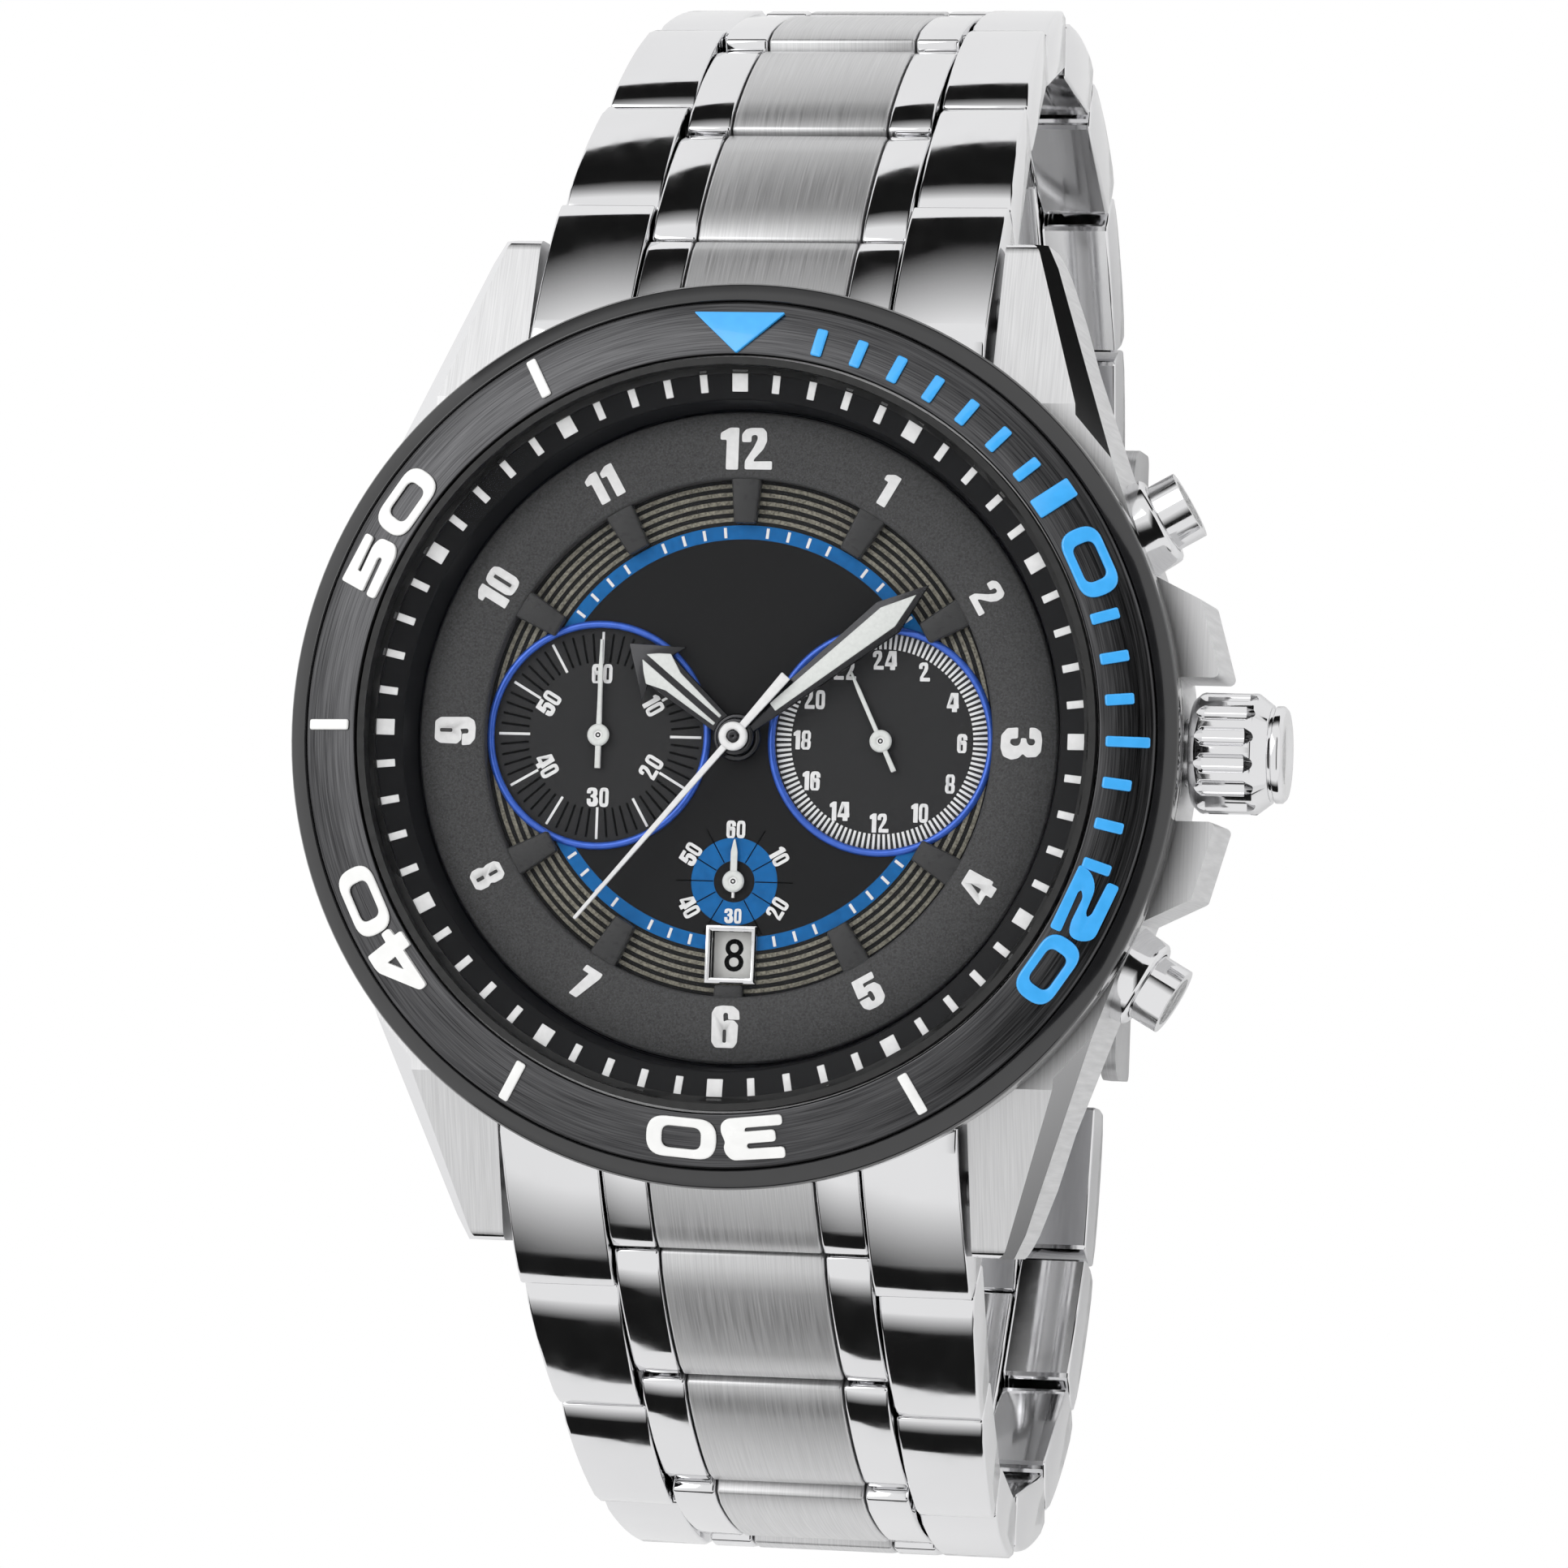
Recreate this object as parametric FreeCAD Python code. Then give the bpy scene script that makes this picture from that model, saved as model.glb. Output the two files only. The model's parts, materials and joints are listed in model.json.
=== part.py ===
"""Steel dive chronograph on a three-row bracelet, closed on a folding clasp.

Frame: X to the crown, Y to the twelve o'clock lugs, Z up out of the dial.
The origin is on the dial's axis, at the flat outer face of the clasp.
Millimetres throughout.  Each function builds one node or one family of nodes.
"""
import FreeCAD, Part
import math
import os

V = FreeCAD.Vector
X_AXIS = V(1, 0, 0)
Z_AXIS = V(0, 0, 1)

# --- fits ---------------------------------------------------------------
RUN = 0.05              # radial clearance of shafts and pins that turn
SEAT = 0.02             # clearance of pieces that are pressed or bonded in
SIDE = 0.10             # side clearance between bracelet pieces
AIR = 0.20              # gap between the bezel and what it turns over

# --- bracelet -----------------------------------------------------------
PITCH = 9.05            # distance from one hinge pin to the next
LINK_THICKNESS = 3.4
LINK_GAP = 0.16         # between neighbours when the bracelet is straight
STOP_GAP = 0.12         # between the stop faces when it is closed
PIN_SET_BACK = 1.25     # hinge pin to the end of an outer link
LINK_PIN_R = 0.5
PIN_GRIP = 2.4          # how far a pin reaches into each outer link
FIXING_PIN_S = 3.4      # second pin, from the start of the outer link
END_LINK_HEADING = -35.0
LINK_HEADINGS = [-45.0, -54.0, -74.0, -96.0, -120.0, -145.0, -168.0]
CLASP_HEADING = -180.0
LUG_WIDTH = 24.0        # between the lugs
LUG_PLAY = 0.7          # how much narrower the bracelet is
BRACELET_TAPER = 1.1    # lost at each link
TAPERED_LINKS = 3
BLOCK_WIDTH = 13.2      # centre row at the end links
BLOCK_TAPER = 0.3
END_CORNER = 0.4        # rounding of the outer links' ends
BLOCK_NOSE = 0.9        # rounding of the blocks that enter the neighbour
LAST_CORNER = 1.1       # rounding where the last link enters the clasp
FOOT_CORNER = 0.3
FIRST_PIN_OVERHANG = 0.35   # hinge of the first link past the lug tips
FIRST_PIN_DROP = 9.11   # below the bezel's rim

# --- clasp --------------------------------------------------------------
CLASP_PLATE = 1.2
CLASP_PIN_Z = 3.3
CLASP_BAR_R = 0.75
CLASP_WALL = 0.9
CLASP_WALL_HEIGHT = 5.0
CLASP_WALL_OVERLAP = 2.1    # walls past the bracelet's pin on the 12 side
CLASP_SHORT_END = 2.8       # walls stop short of the pin on the 6 side
CLASP_PLATE_STEP = 1.8      # plate stops this much before the walls
BLADE_THICKNESS = 1.0
BLADE_GAP = 0.6
INNER_BLADE_WIDTH = 15.0
OUTER_BLADE_WIDTH = 11.0
TONGUE_WIDTH = 6.0
TONGUE_CLEARANCE = 0.3
BLADE_PIN_R = 0.6
KNUCKLE_R = 0.95
BLADE_HINGE_INSET = 1.2     # cover hinge from the walls' end
FOLD_INSET = 5.75           # fold hinge from the pin on the 12 side
TONGUE_EYE_R = 1.4
BUTTON_R = 1.5
BUTTON_PROUD = 0.7
BUTTON_FLANGE = 0.45
BUTTON_Y = -4.0

# --- bezel, case and crystal ---------------------------------------------
BEZEL_R = 22.5
BEZEL_HEIGHT = 2.8
RIM_BAND = 1.0
INSERT_WIDTH = 2.75
INSERT_RISE = 0.75
INSERT_THICKNESS = 0.4
INSERT_LIP = 0.55           # insert's outer edge above the rim
NECK_LAP = 0.65              # insert past the neck that carries the bezel
NECK_WALL = 0.75
NECK_TOP_DROP = -0.6        # top of the neck, measured down from the rim
WIRE_R = 0.2
WIRE_DROP = 1.0
CLICK_COUNT = 60
CLICK_DEPTH = 0.25
CLICK_TOOTH = 0.9
CLICK_POCKET_HALF = 0.6
CLICK_POCKET_DEPTH = 0.7
CLICK_SPRING_HALF_LENGTH = 7.0
CLICK_SPRING_DROP = 0.35
BEZEL_OVERHANG = 0.45        # past the case's side
CASE_HEIGHT = 6.6
FLANK_Y = 8.5               # where the round side meets the straight flank
LUG_OVERHANG = 3.35          # lug tips past the case's side
LUG_TIP_WIDTH = 2.6
LUG_TIP_CORNER = 1.2
LUG_EDGE = 0.8
LUG_SLOPE_LENGTH = 8.4
LUG_FOOT_LENGTH = 3.5
LUG_TIP_DROP = 6.1
LUG_FOOT_DROP = 10.8
LUG_BAR_R = 0.9
LUG_BAR_TIP_R = 0.45
LUG_BAR_TIP = 1.0
LUG_BAR_Y = 2.4              # from the gap's round wall
LUG_BAR_RISE = 1.5           # over the case's underside
BEVEL_TILT = 40.0            # polished bevel of each lug, from upright
BEVEL_INSET = 1.3            # its upper edge from the flank
BEVEL_RISE = 3.1
BEVEL_START = 3.0            # before the flank begins
BEVEL_SIZE = 4.0
CAVITY_STEP = 0.98           # crystal past the cavity
BACK_LAP = 1.6               # back past the cavity
BACK_THICKNESS = 2.2
BACK_PLUG = 0.7
BACK_STEP = 1.4
BACK_STEP_RISE = 1.0
BACK_NOTCHES = 6
BACK_NOTCH_LENGTH = 2.2
BACK_NOTCH_WIDTH = 2.0
BACK_NOTCH_DEPTH = 0.8
BACK_GASKET_WIDTH = 0.8
BACK_GASKET_HEIGHT = 0.5
CRYSTAL_EDGE = 0.25
CRYSTAL_THICKNESS = 1.4
GASKET_WALL = 0.35
GASKET_FOOT = 0.2

# --- dial and hands -------------------------------------------------------
DIAL_DROP = 2.6
DIAL_THICKNESS = 0.5
DIAL_CLEARANCE = 0.1
HOUR_RING_SHARE = 0.75      # inner radius, of the dial's
HOUR_RING_HEIGHT = 0.8
HOUR_BLOCK_SHARE = 0.83     # inner end, of the hour ring's inner radius
HOUR_BLOCK_WIDTH = 1.5
HOUR_BLOCK_HEIGHT = 0.65
CHAPTER_TOP_DROP = -0.3
CHAPTER_WIDTH = 0.95        # foot of the chapter ring
CHAPTER_WALL_LEAN = 0.3     # inner wall, from foot to band
CHAPTER_BAND_FALL = 0.25    # of the marked band, inwards
SUBDIAL_SHARE = 0.442       # radius, of the hour ring's inner radius
SMALL_SECONDS_SHARE = 0.554
DATE_SHARE = 0.837
SUBDIAL_RIM = 0.22
SUBDIAL_DEPTH = 0.25
DATE_WIDTH = 2.6
DATE_HEIGHT = 2.9
DATE_FRAME_WALL = 0.3
DATE_DISC_INSIDE = 1.3       # from the window's middle inwards
DATE_DISC_OUTSIDE = 1.7
DATE_DISC_THICKNESS = 0.2
HAND_THICKNESS = 0.2
HOUR_HAND_LIFT = 0.45
MINUTE_HAND_LIFT = 0.9
CHRONO_HAND_LIFT = 1.35
SMALL_HAND_LIFT = 0.15
HOUR_ANGLE = 309.0
MINUTE_ANGLE = 51.0
CHRONO_ANGLE = 220.0
DAY_HOUR_ANGLE = 334.5
HOUR_HAND_SHARE = 0.566      # lengths, of the hour ring's inner radius
MINUTE_HAND_SHARE = 0.953
CHRONO_HAND_SHARE = 0.938
COUNTER_HAND_SHARE = 0.842   # lengths, of a subdial's radius
DAY_HOUR_HAND_SHARE = 0.675
SECONDS_HAND_SHARE = 0.368
SMALL_TAIL_SHARE = 0.29
HOUR_HAND_SHAPE = ((0.068, 0), (0.068, 0.11), (0.13, 0.712), (0.24, 0.671), (0, 1))
MINUTE_HAND_SHAPE = ((0.024, 0), (0.024, 0.057), (0.077, 0.78), (0, 1))
CHRONO_HAND_SHAPE = ((0.03, -0.33), (0.0165, 0), (0.0066, 1))
SMALL_HAND_HALF = 0.027     # of its length, at the hub
SMALL_HAND_TIP_HALF = 0.0125
HOUR_HUB_R = 1.2
MINUTE_HUB_R = 0.95
CHRONO_HUB_R = 0.72
SMALL_HUB_R = 0.5
HUB_HEIGHT = 0.3
HOUR_WHEEL_R = 2.4
MINUTE_WHEEL_R = 1.4
CHRONO_WHEEL_R = 2.2
SMALL_WHEEL_R = 1.6
WHEEL_THICKNESS = 0.3
HOUR_TUBE_R = 0.8
MINUTE_TUBE_R = 0.55
CHRONO_ARBOR_R = 0.28
SMALL_ARBOR_R = 0.2

# --- movement -------------------------------------------------------------
PLATE_GAP = 0.7              # from the cavity's wall
PLATE_THICKNESS = 1.3
BRIDGE_THICKNESS = 1.0
BRIDGE_INSET = 1.1
MOVEMENT_HEIGHT = 4.8
POST_R = 1.1
POST_INSET = 1.5
POST_ANGLES = (35, 145, 222, 318)
BATTERY_R = 4.75
BATTERY_HEIGHT = 2.1
BATTERY_SHARE = (-0.361, -0.335)     # place, of the bridge's radius
COIL_SHARES = ((0.29, 0.323), (-0.29, 0.323), (0.355, -0.387))
CORE_END = 0.8
BOARD_SHARE = 0.677
BOARD_EDGE_Y = 2.5
BATTERY_DROP = 0.3          # below the bridge's underside
COIL_R = 1.1
COIL_LENGTH = 6.0
BOARD_THICKNESS = 0.3
SCREW_R = 0.55
SCREW_REACH = 1.2
SCREW_HEAD = 0.4

# --- crown and pushers ------------------------------------------------------
CROWN_DROP = 6.2
CROWN_R = 3.05
CROWN_LENGTH = 3.9
CROWN_BOSS_R = 2.5
CROWN_BOSS = 0.7
CROWN_GAP = 0.35            # from the case's side
CROWN_FLUTES = 14
CROWN_FLUTE_R = 0.42
CROWN_SKIRT = 2.6
TUBE_R = 1.65
TUBE_INSET = 1.4            # tube's inner end from the cavity
TUBE_RECESS = 0.3
STEM_R = 0.6
STEM_NECK_R = 0.42
STEM_SOCKET = 0.8
STEM_REACH = 5.3            # into the cavity
SLIDER_INSET = 2.0          # from the stem's inner end
SLIDER_SIZE = 1.6
SLIDER_HALF_HEIGHT = 1.0
GUARD_REACH = 1.95          # past the case's side
GUARD_CLEARANCE = 0.51      # from the crown
GUARD_OUTER_Y = 7.4
GUARD_BACK = 0.85
GUARD_EDGE = 0.3
PUSHER_ANGLE = 60.3         # from twelve o'clock
PUSHER_R = 1.75
PUSHER_REACH = 2.95         # past the case's side
PUSHER_TRAVEL = 1.0
PUSHER_FLOOR = 0.5          # left under the pressed cap
PUSHER_STEM_R = 0.8
COLLAR_R = 2.3
COLLAR_NECK_R = 1.38
COLLAR_REACH = 1.45
COLLAR_DEPTH = 2.4
COLLAR_WALL = 0.4

# --- levels worked out from the sizes above ---------------------------------
PIN_DEPTH = LINK_THICKNESS / 2
INSERT_OUTER_R = BEZEL_R - RIM_BAND
INSERT_INNER_R = INSERT_OUTER_R - INSERT_WIDTH
NECK_R = INSERT_INNER_R + NECK_LAP
NECK_BORE_R = NECK_R - NECK_WALL
CLICK_R = (NECK_R + BEZEL_R - BEZEL_OVERHANG) / 2
CASE_SIDE_R = BEZEL_R - BEZEL_OVERHANG
CRYSTAL_R = NECK_BORE_R - GASKET_WALL - SEAT
CAVITY_R = CRYSTAL_R - CAVITY_STEP
BACK_R = CAVITY_R + BACK_LAP
LUG_GAP_R = NECK_R + AIR
LUG_TIP_Y = CASE_SIDE_R + LUG_OVERHANG
LUG_SHOULDER_Y = LUG_TIP_Y - LUG_SLOPE_LENGTH
DIAL_R = CAVITY_R - DIAL_CLEARANCE
CHAPTER_INNER_R = CAVITY_R - CHAPTER_WIDTH
HOUR_RING_OUTER_R = CHAPTER_INNER_R - DIAL_CLEARANCE
HOUR_RING_INNER_R = HOUR_RING_SHARE * DIAL_R
HOUR_BLOCK_INNER_R = HOUR_BLOCK_SHARE * HOUR_RING_INNER_R
SUBDIAL_R = SUBDIAL_SHARE * HOUR_RING_INNER_R
SUBDIAL_X = HOUR_RING_INNER_R - SUBDIAL_R
SMALL_SECONDS_Y = -SMALL_SECONDS_SHARE * HOUR_RING_INNER_R
DATE_Y = -DATE_SHARE * HOUR_RING_INNER_R
DATE_DISC_OUTER_R = DATE_DISC_OUTSIDE - DATE_Y
HOUR_HAND_LENGTH = HOUR_HAND_SHARE * HOUR_RING_INNER_R
MINUTE_HAND_LENGTH = MINUTE_HAND_SHARE * HOUR_RING_INNER_R
CHRONO_HAND_LENGTH = CHRONO_HAND_SHARE * HOUR_RING_INNER_R
DATE_DISC_INNER_R = -DATE_Y - DATE_DISC_INSIDE
PLATE_R = CAVITY_R - PLATE_GAP
PLATE_RIM_INNER_R = DATE_DISC_OUTER_R + 3 * DIAL_CLEARANCE
BRIDGE_R = PLATE_R - BRIDGE_INSET
CROWN_START_X = CASE_SIDE_R + CROWN_GAP
GUARD_INNER_Y = CROWN_R + GUARD_CLEARANCE
STEM_END_X = CAVITY_R - STEM_REACH
SLIDER_X = STEM_END_X + SLIDER_INSET
PUSHER_END = CASE_SIDE_R + PUSHER_REACH
COLLAR_END = CASE_SIDE_R + COLLAR_REACH
BRACELET_WIDTH = LUG_WIDTH - LUG_PLAY
BRACELET_MIN_WIDTH = BRACELET_WIDTH - TAPERED_LINKS * BRACELET_TAPER
BLOCK_MIN_WIDTH = BLOCK_WIDTH - TAPERED_LINKS * BLOCK_TAPER
FIRST_PIN_Y = LUG_TIP_Y + FIRST_PIN_OVERHANG
FALL = PITCH * sum(math.sin(math.radians(a)) for a in LINK_HEADINGS)
RIM_Z = CLASP_PIN_Z + FIRST_PIN_DROP - FALL
BEZEL_BOTTOM_Z = RIM_Z - BEZEL_HEIGHT
CASE_TOP_Z = BEZEL_BOTTOM_Z - AIR
CASE_BOTTOM_Z = CASE_TOP_Z - CASE_HEIGHT
DIAL_Z = RIM_Z - DIAL_DROP
DIAL_BOTTOM_Z = DIAL_Z - DIAL_THICKNESS
CHAPTER_TOP_Z = RIM_Z - CHAPTER_TOP_DROP
CRYSTAL_Z = CHAPTER_TOP_Z + GASKET_FOOT
PLATE_Z = DIAL_BOTTOM_Z - 2 * DIAL_CLEARANCE - DATE_DISC_THICKNESS
BRIDGE_Z = PLATE_Z - MOVEMENT_HEIGHT
CROWN_Z = RIM_Z - CROWN_DROP
INSERT_SLOPE = INSERT_RISE / (INSERT_OUTER_R - INSERT_INNER_R)
BLOCK_LEAD = 2 * PIN_SET_BACK


# --- drawing helpers ----------------------------------------------------------
def corner_wire(points, place):
    """Closed wire through (a, b) or (a, b, radius) corners, put in space by place."""
    count = len(points)
    starts = []
    ends = []
    middles = []
    for i, point in enumerate(points):
        radius = point[2] if len(point) > 2 else 0.0
        here = V(point[0], point[1], 0)
        before = V(points[i - 1][0], points[i - 1][1], 0) - here
        after = V(points[(i + 1) % count][0], points[(i + 1) % count][1], 0) - here
        before.normalize()
        after.normalize()
        half = before.getAngle(after) / 2
        reach = radius / math.tan(half)
        starts.append(here + before * reach)
        ends.append(here + after * reach)
        bisector = before + after
        if radius:
            bisector.normalize()
        middles.append(here + bisector * (radius / math.sin(half) - radius))
    edges = []
    for i, point in enumerate(points):
        if len(point) > 2:
            edges.append(Part.Arc(place(starts[i]), place(middles[i]), place(ends[i])).toShape())
        follower = (i + 1) % count
        edges.append(Part.LineSegment(place(ends[i]), place(starts[follower])).toShape())
    return Part.Wire(edges)


def prism_x(points, x_low, x_high):
    """Side outline in (y, z), pushed along X."""
    wire = corner_wire(points, lambda p: V(x_low, p.x, p.y))
    return Part.Face(wire).extrude(V(x_high - x_low, 0, 0))


def prism_z(points, z_low, z_high):
    """Plan outline in (x, y), pushed along Z."""
    wire = corner_wire(points, lambda p: V(p.x, p.y, z_low))
    return Part.Face(wire).extrude(V(0, 0, z_high - z_low))


def turned(points, x=0.0, y=0.0):
    """Section in (radius, z) turned about a vertical axis at x, y."""
    wire = corner_wire(points, lambda p: V(x + p.x, y, p.y))
    return Part.Face(wire).revolve(V(x, y, 0), Z_AXIS, 360)


def disc(radius, z_low, z_high, x=0.0, y=0.0):
    return Part.makeCylinder(radius, z_high - z_low, V(x, y, z_low))


def washer(outer, inner, z_low, z_high, x=0.0, y=0.0):
    return disc(outer, z_low, z_high, x, y).cut(disc(inner, z_low, z_high, x, y))


def rod_x(radius, x_low, x_high, y, z):
    return Part.makeCylinder(radius, x_high - x_low, V(x_low, y, z), X_AXIS)


def box(x_low, x_high, y_low, y_high, z_low, z_high):
    return Part.makeBox(x_high - x_low, y_high - y_low, z_high - z_low, V(x_low, y_low, z_low))


def spun(shape, angle, x=0.0, y=0.0):
    """Copy turned anticlockwise by angle degrees about a vertical axis."""
    copy = shape.copy()
    copy.rotate(V(x, y, 0), Z_AXIS, angle)
    return copy


def write(node, *solids):
    shape = solids[0] if len(solids) == 1 else Part.makeCompound(list(solids))
    shape.exportStep("parts/" + node + ".step")


# --- bracelet -----------------------------------------------------------------
def chain_pins():
    """(y, z) of the eight hinge pins of one side."""
    pins = [(FIRST_PIN_Y, RIM_Z - FIRST_PIN_DROP)]
    for heading in LINK_HEADINGS:
        y, z = pins[-1]
        angle = math.radians(heading)
        pins.append((y + PITCH * math.cos(angle), z + PITCH * math.sin(angle)))
    return pins


def link_widths(index):
    full = max(BRACELET_MIN_WIDTH, BRACELET_WIDTH - BRACELET_TAPER * index)
    block = max(BLOCK_MIN_WIDTH, BLOCK_WIDTH - BLOCK_TAPER * index)
    return full, block


def joint_bend(index):
    """Bend in degrees at the hinge before link index (0 is the first link)."""
    headings = [END_LINK_HEADING] + LINK_HEADINGS + [CLASP_HEADING]
    return headings[index] - headings[index + 1]


def stop_relief(bend, side):
    """Slope of the stop faces below the pin: side +1 outer links, -1 centre blocks."""
    angle = math.radians(bend)
    lift = side * PIN_SET_BACK * (1 - math.cos(angle)) + PIN_DEPTH * math.sin(angle) + STOP_GAP
    return lift / (PIN_DEPTH * (1 + math.cos(angle)))


def row_outline(start, end, start_relief, end_relief, nose, tail):
    """Side outline of a link piece, s along the bracelet and t up, top at t = 0."""
    return [
        (start, 0, nose),
        (start, -PIN_DEPTH),
        (start + PIN_DEPTH * start_relief, -LINK_THICKNESS, FOOT_CORNER),
        (end - PIN_DEPTH * end_relief, -LINK_THICKNESS, FOOT_CORNER),
        (end, -PIN_DEPTH),
        (end, 0, tail),
    ]


def set_on_chain(shape, pin, heading):
    """Carry a piece from (s, t) to the chain, on the twelve o'clock side."""
    angle = math.radians(heading)
    along = V(0, math.cos(angle), math.sin(angle))
    outward = V(0, -math.sin(angle), math.cos(angle))
    start = V(0, pin[0], pin[1]) + along * PIN_SET_BACK + outward * PIN_DEPTH
    moved = shape.copy()
    moved.rotate(V(0, 0, 0), X_AXIS, heading)
    moved.translate(start)
    return moved


def link_pieces(index, last_cut):
    """Outer pair, centre block and pins of one link, in (s, t)."""
    full, block = link_widths(index)
    next_full = link_widths(index + 1)[0]
    last = index == len(LINK_HEADINGS) - 1
    start_bend = joint_bend(index)
    end_bend = joint_bend(index + 1)
    half_gap = LINK_GAP / 2
    end_s = PITCH - half_gap
    tail = LAST_CORNER if last else END_CORNER
    outer_side = row_outline(half_gap, end_s, stop_relief(start_bend, 1),
                             stop_relief(end_bend, 1), END_CORNER, tail)
    inner_x = block / 2 + SIDE
    outer_x = full / 2
    next_x = next_full / 2
    plan = [(inner_x, -1), (outer_x, -1), (outer_x, 0), (next_x, PITCH), (next_x, PITCH + 1),
            (inner_x, PITCH + 1)]
    outer = prism_x(outer_side, inner_x, outer_x)
    outer = outer.common(prism_z(plan, -LINK_THICKNESS, 0))
    pin_s = PITCH - PIN_SET_BACK
    block_end = end_s if last else PITCH - BLOCK_LEAD - half_gap
    block_relief = stop_relief(end_bend, 1 if last else -1)
    block_side = row_outline(half_gap - BLOCK_LEAD, block_end, stop_relief(start_bend, -1),
                             block_relief, BLOCK_NOSE, tail)
    centre = prism_x(block_side, -block / 2, block / 2)
    centre = centre.cut(rod_x(LINK_PIN_R + RUN, -block, block, -PIN_SET_BACK, -PIN_DEPTH))
    reach = block / 2 + PIN_GRIP
    pins = [rod_x(LINK_PIN_R, -reach, reach, FIXING_PIN_S, -PIN_DEPTH)]
    centre = centre.cut(rod_x(LINK_PIN_R + SEAT, -reach, reach, FIXING_PIN_S, -PIN_DEPTH))
    outer = outer.cut(rod_x(LINK_PIN_R + SEAT, 0, reach, FIXING_PIN_S, -PIN_DEPTH))
    if last:
        outer = outer.cut(last_cut)
        centre = centre.cut(last_cut)
    else:
        pins.append(rod_x(LINK_PIN_R, -reach, reach, pin_s, -PIN_DEPTH))
        outer = outer.cut(rod_x(LINK_PIN_R + SEAT, 0, reach, pin_s, -PIN_DEPTH))
    other = outer.mirror(V(0, 0, 0), X_AXIS)
    return [outer, other, centre] + pins


def make_links():
    pins = chain_pins()
    pin_s = PITCH - PIN_SET_BACK
    bar_bore = rod_x(CLASP_BAR_R + RUN, -BRACELET_WIDTH, BRACELET_WIDTH, pin_s, -PIN_DEPTH)
    slot_half = TONGUE_WIDTH / 2 + TONGUE_CLEARANCE
    slot_back = pin_s - TONGUE_EYE_R - 2 * TONGUE_CLEARANCE
    slot = box(-slot_half, slot_half, slot_back, PITCH + 1, -LINK_THICKNESS, 0)
    for index, heading in enumerate(LINK_HEADINGS):
        upper = [set_on_chain(p, pins[index], heading) for p in link_pieces(index, bar_bore)]
        write("link_12_%d" % (index + 1), *upper)
        lower = link_pieces(index, bar_bore.fuse(slot))
        lower = [spun(set_on_chain(p, pins[index], heading), 180) for p in lower]
        write("link_6_%d" % (index + 1), *lower)


def end_link():
    """Solid end link of the twelve o'clock side with its hinge pin."""
    full, block = link_widths(0)
    pin_y, pin_z = chain_pins()[0]
    angle = math.radians(END_LINK_HEADING)
    half_gap = LINK_GAP / 2
    bend = joint_bend(0)

    def at(s, t):
        along = PIN_SET_BACK + s
        up = PIN_DEPTH + t
        return (pin_y + along * math.cos(angle) - up * math.sin(angle),
                pin_z + along * math.sin(angle) + up * math.cos(angle))

    top = at(-half_gap, 0)
    back_y = top[0] - (CASE_TOP_Z - top[1]) / math.tan(-angle)
    inside_y = LUG_GAP_R - 3
    side = [at(-half_gap, 0) + (END_CORNER,), at(-half_gap, -PIN_DEPTH),
            at(-half_gap - PIN_DEPTH * stop_relief(bend, 1), -LINK_THICKNESS),
            (LUG_GAP_R + 3, CASE_BOTTOM_Z - 0.8), (inside_y, CASE_BOTTOM_Z),
            (inside_y, CASE_TOP_Z), (back_y, CASE_TOP_Z)]
    body = prism_x(side, -full / 2, full / 2)
    body = body.cut(disc(LUG_GAP_R + RUN, 0, RIM_Z))
    relief = stop_relief(bend, -1)
    lead = -BLOCK_LEAD - half_gap
    notch = [at(lead, 1), at(1, 1), at(1, -LINK_THICKNESS - 3),
             at(lead - (PIN_DEPTH + 3) * relief, -LINK_THICKNESS - 3), at(lead, -PIN_DEPTH)]
    notch_half = block / 2 + SIDE
    body = body.cut(prism_x(notch, -notch_half, notch_half))
    reach = block / 2 + PIN_GRIP
    pin = rod_x(LINK_PIN_R, -reach, reach, pin_y, pin_z)
    body = body.cut(rod_x(LINK_PIN_R + SEAT, -reach, reach, pin_y, pin_z))
    bar_y, bar_z = lug_bar_place()
    body = body.cut(rod_x(LUG_BAR_R + SEAT, -full, full, bar_y, bar_z))
    return [body, pin]


def lug_bar_place():
    return LUG_GAP_R + LUG_BAR_Y, CASE_BOTTOM_Z + LUG_BAR_RISE


def lug_bar():
    y, z = lug_bar_place()
    half = LUG_WIDTH / 2 - RUN
    tip = LUG_WIDTH / 2 + LUG_BAR_TIP
    return rod_x(LUG_BAR_R, -half, half, y, z).fuse(rod_x(LUG_BAR_TIP_R, -tip, tip, y, z))


def make_end_links():
    pieces = end_link()
    write("end_link_12", *pieces)
    write("end_link_6", *[spun(p, 180) for p in pieces])
    bar = lug_bar()
    write("lug_spring_bars", bar, spun(bar, 180))


# --- clasp ----------------------------------------------------------------------
def clasp_levels():
    pin_y = chain_pins()[-1][0]
    inner_half = BRACELET_MIN_WIDTH / 2 + SIDE + RUN
    low_y = -(pin_y - CLASP_SHORT_END)
    high_y = pin_y + CLASP_WALL_OVERLAP
    hinge = (low_y + BLADE_HINGE_INSET, CLASP_PLATE + KNUCKLE_R - RUN)
    fold = (pin_y - FOLD_INSET, hinge[1] + BLADE_GAP)
    return pin_y, inner_half, low_y, high_y, hinge, fold


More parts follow.
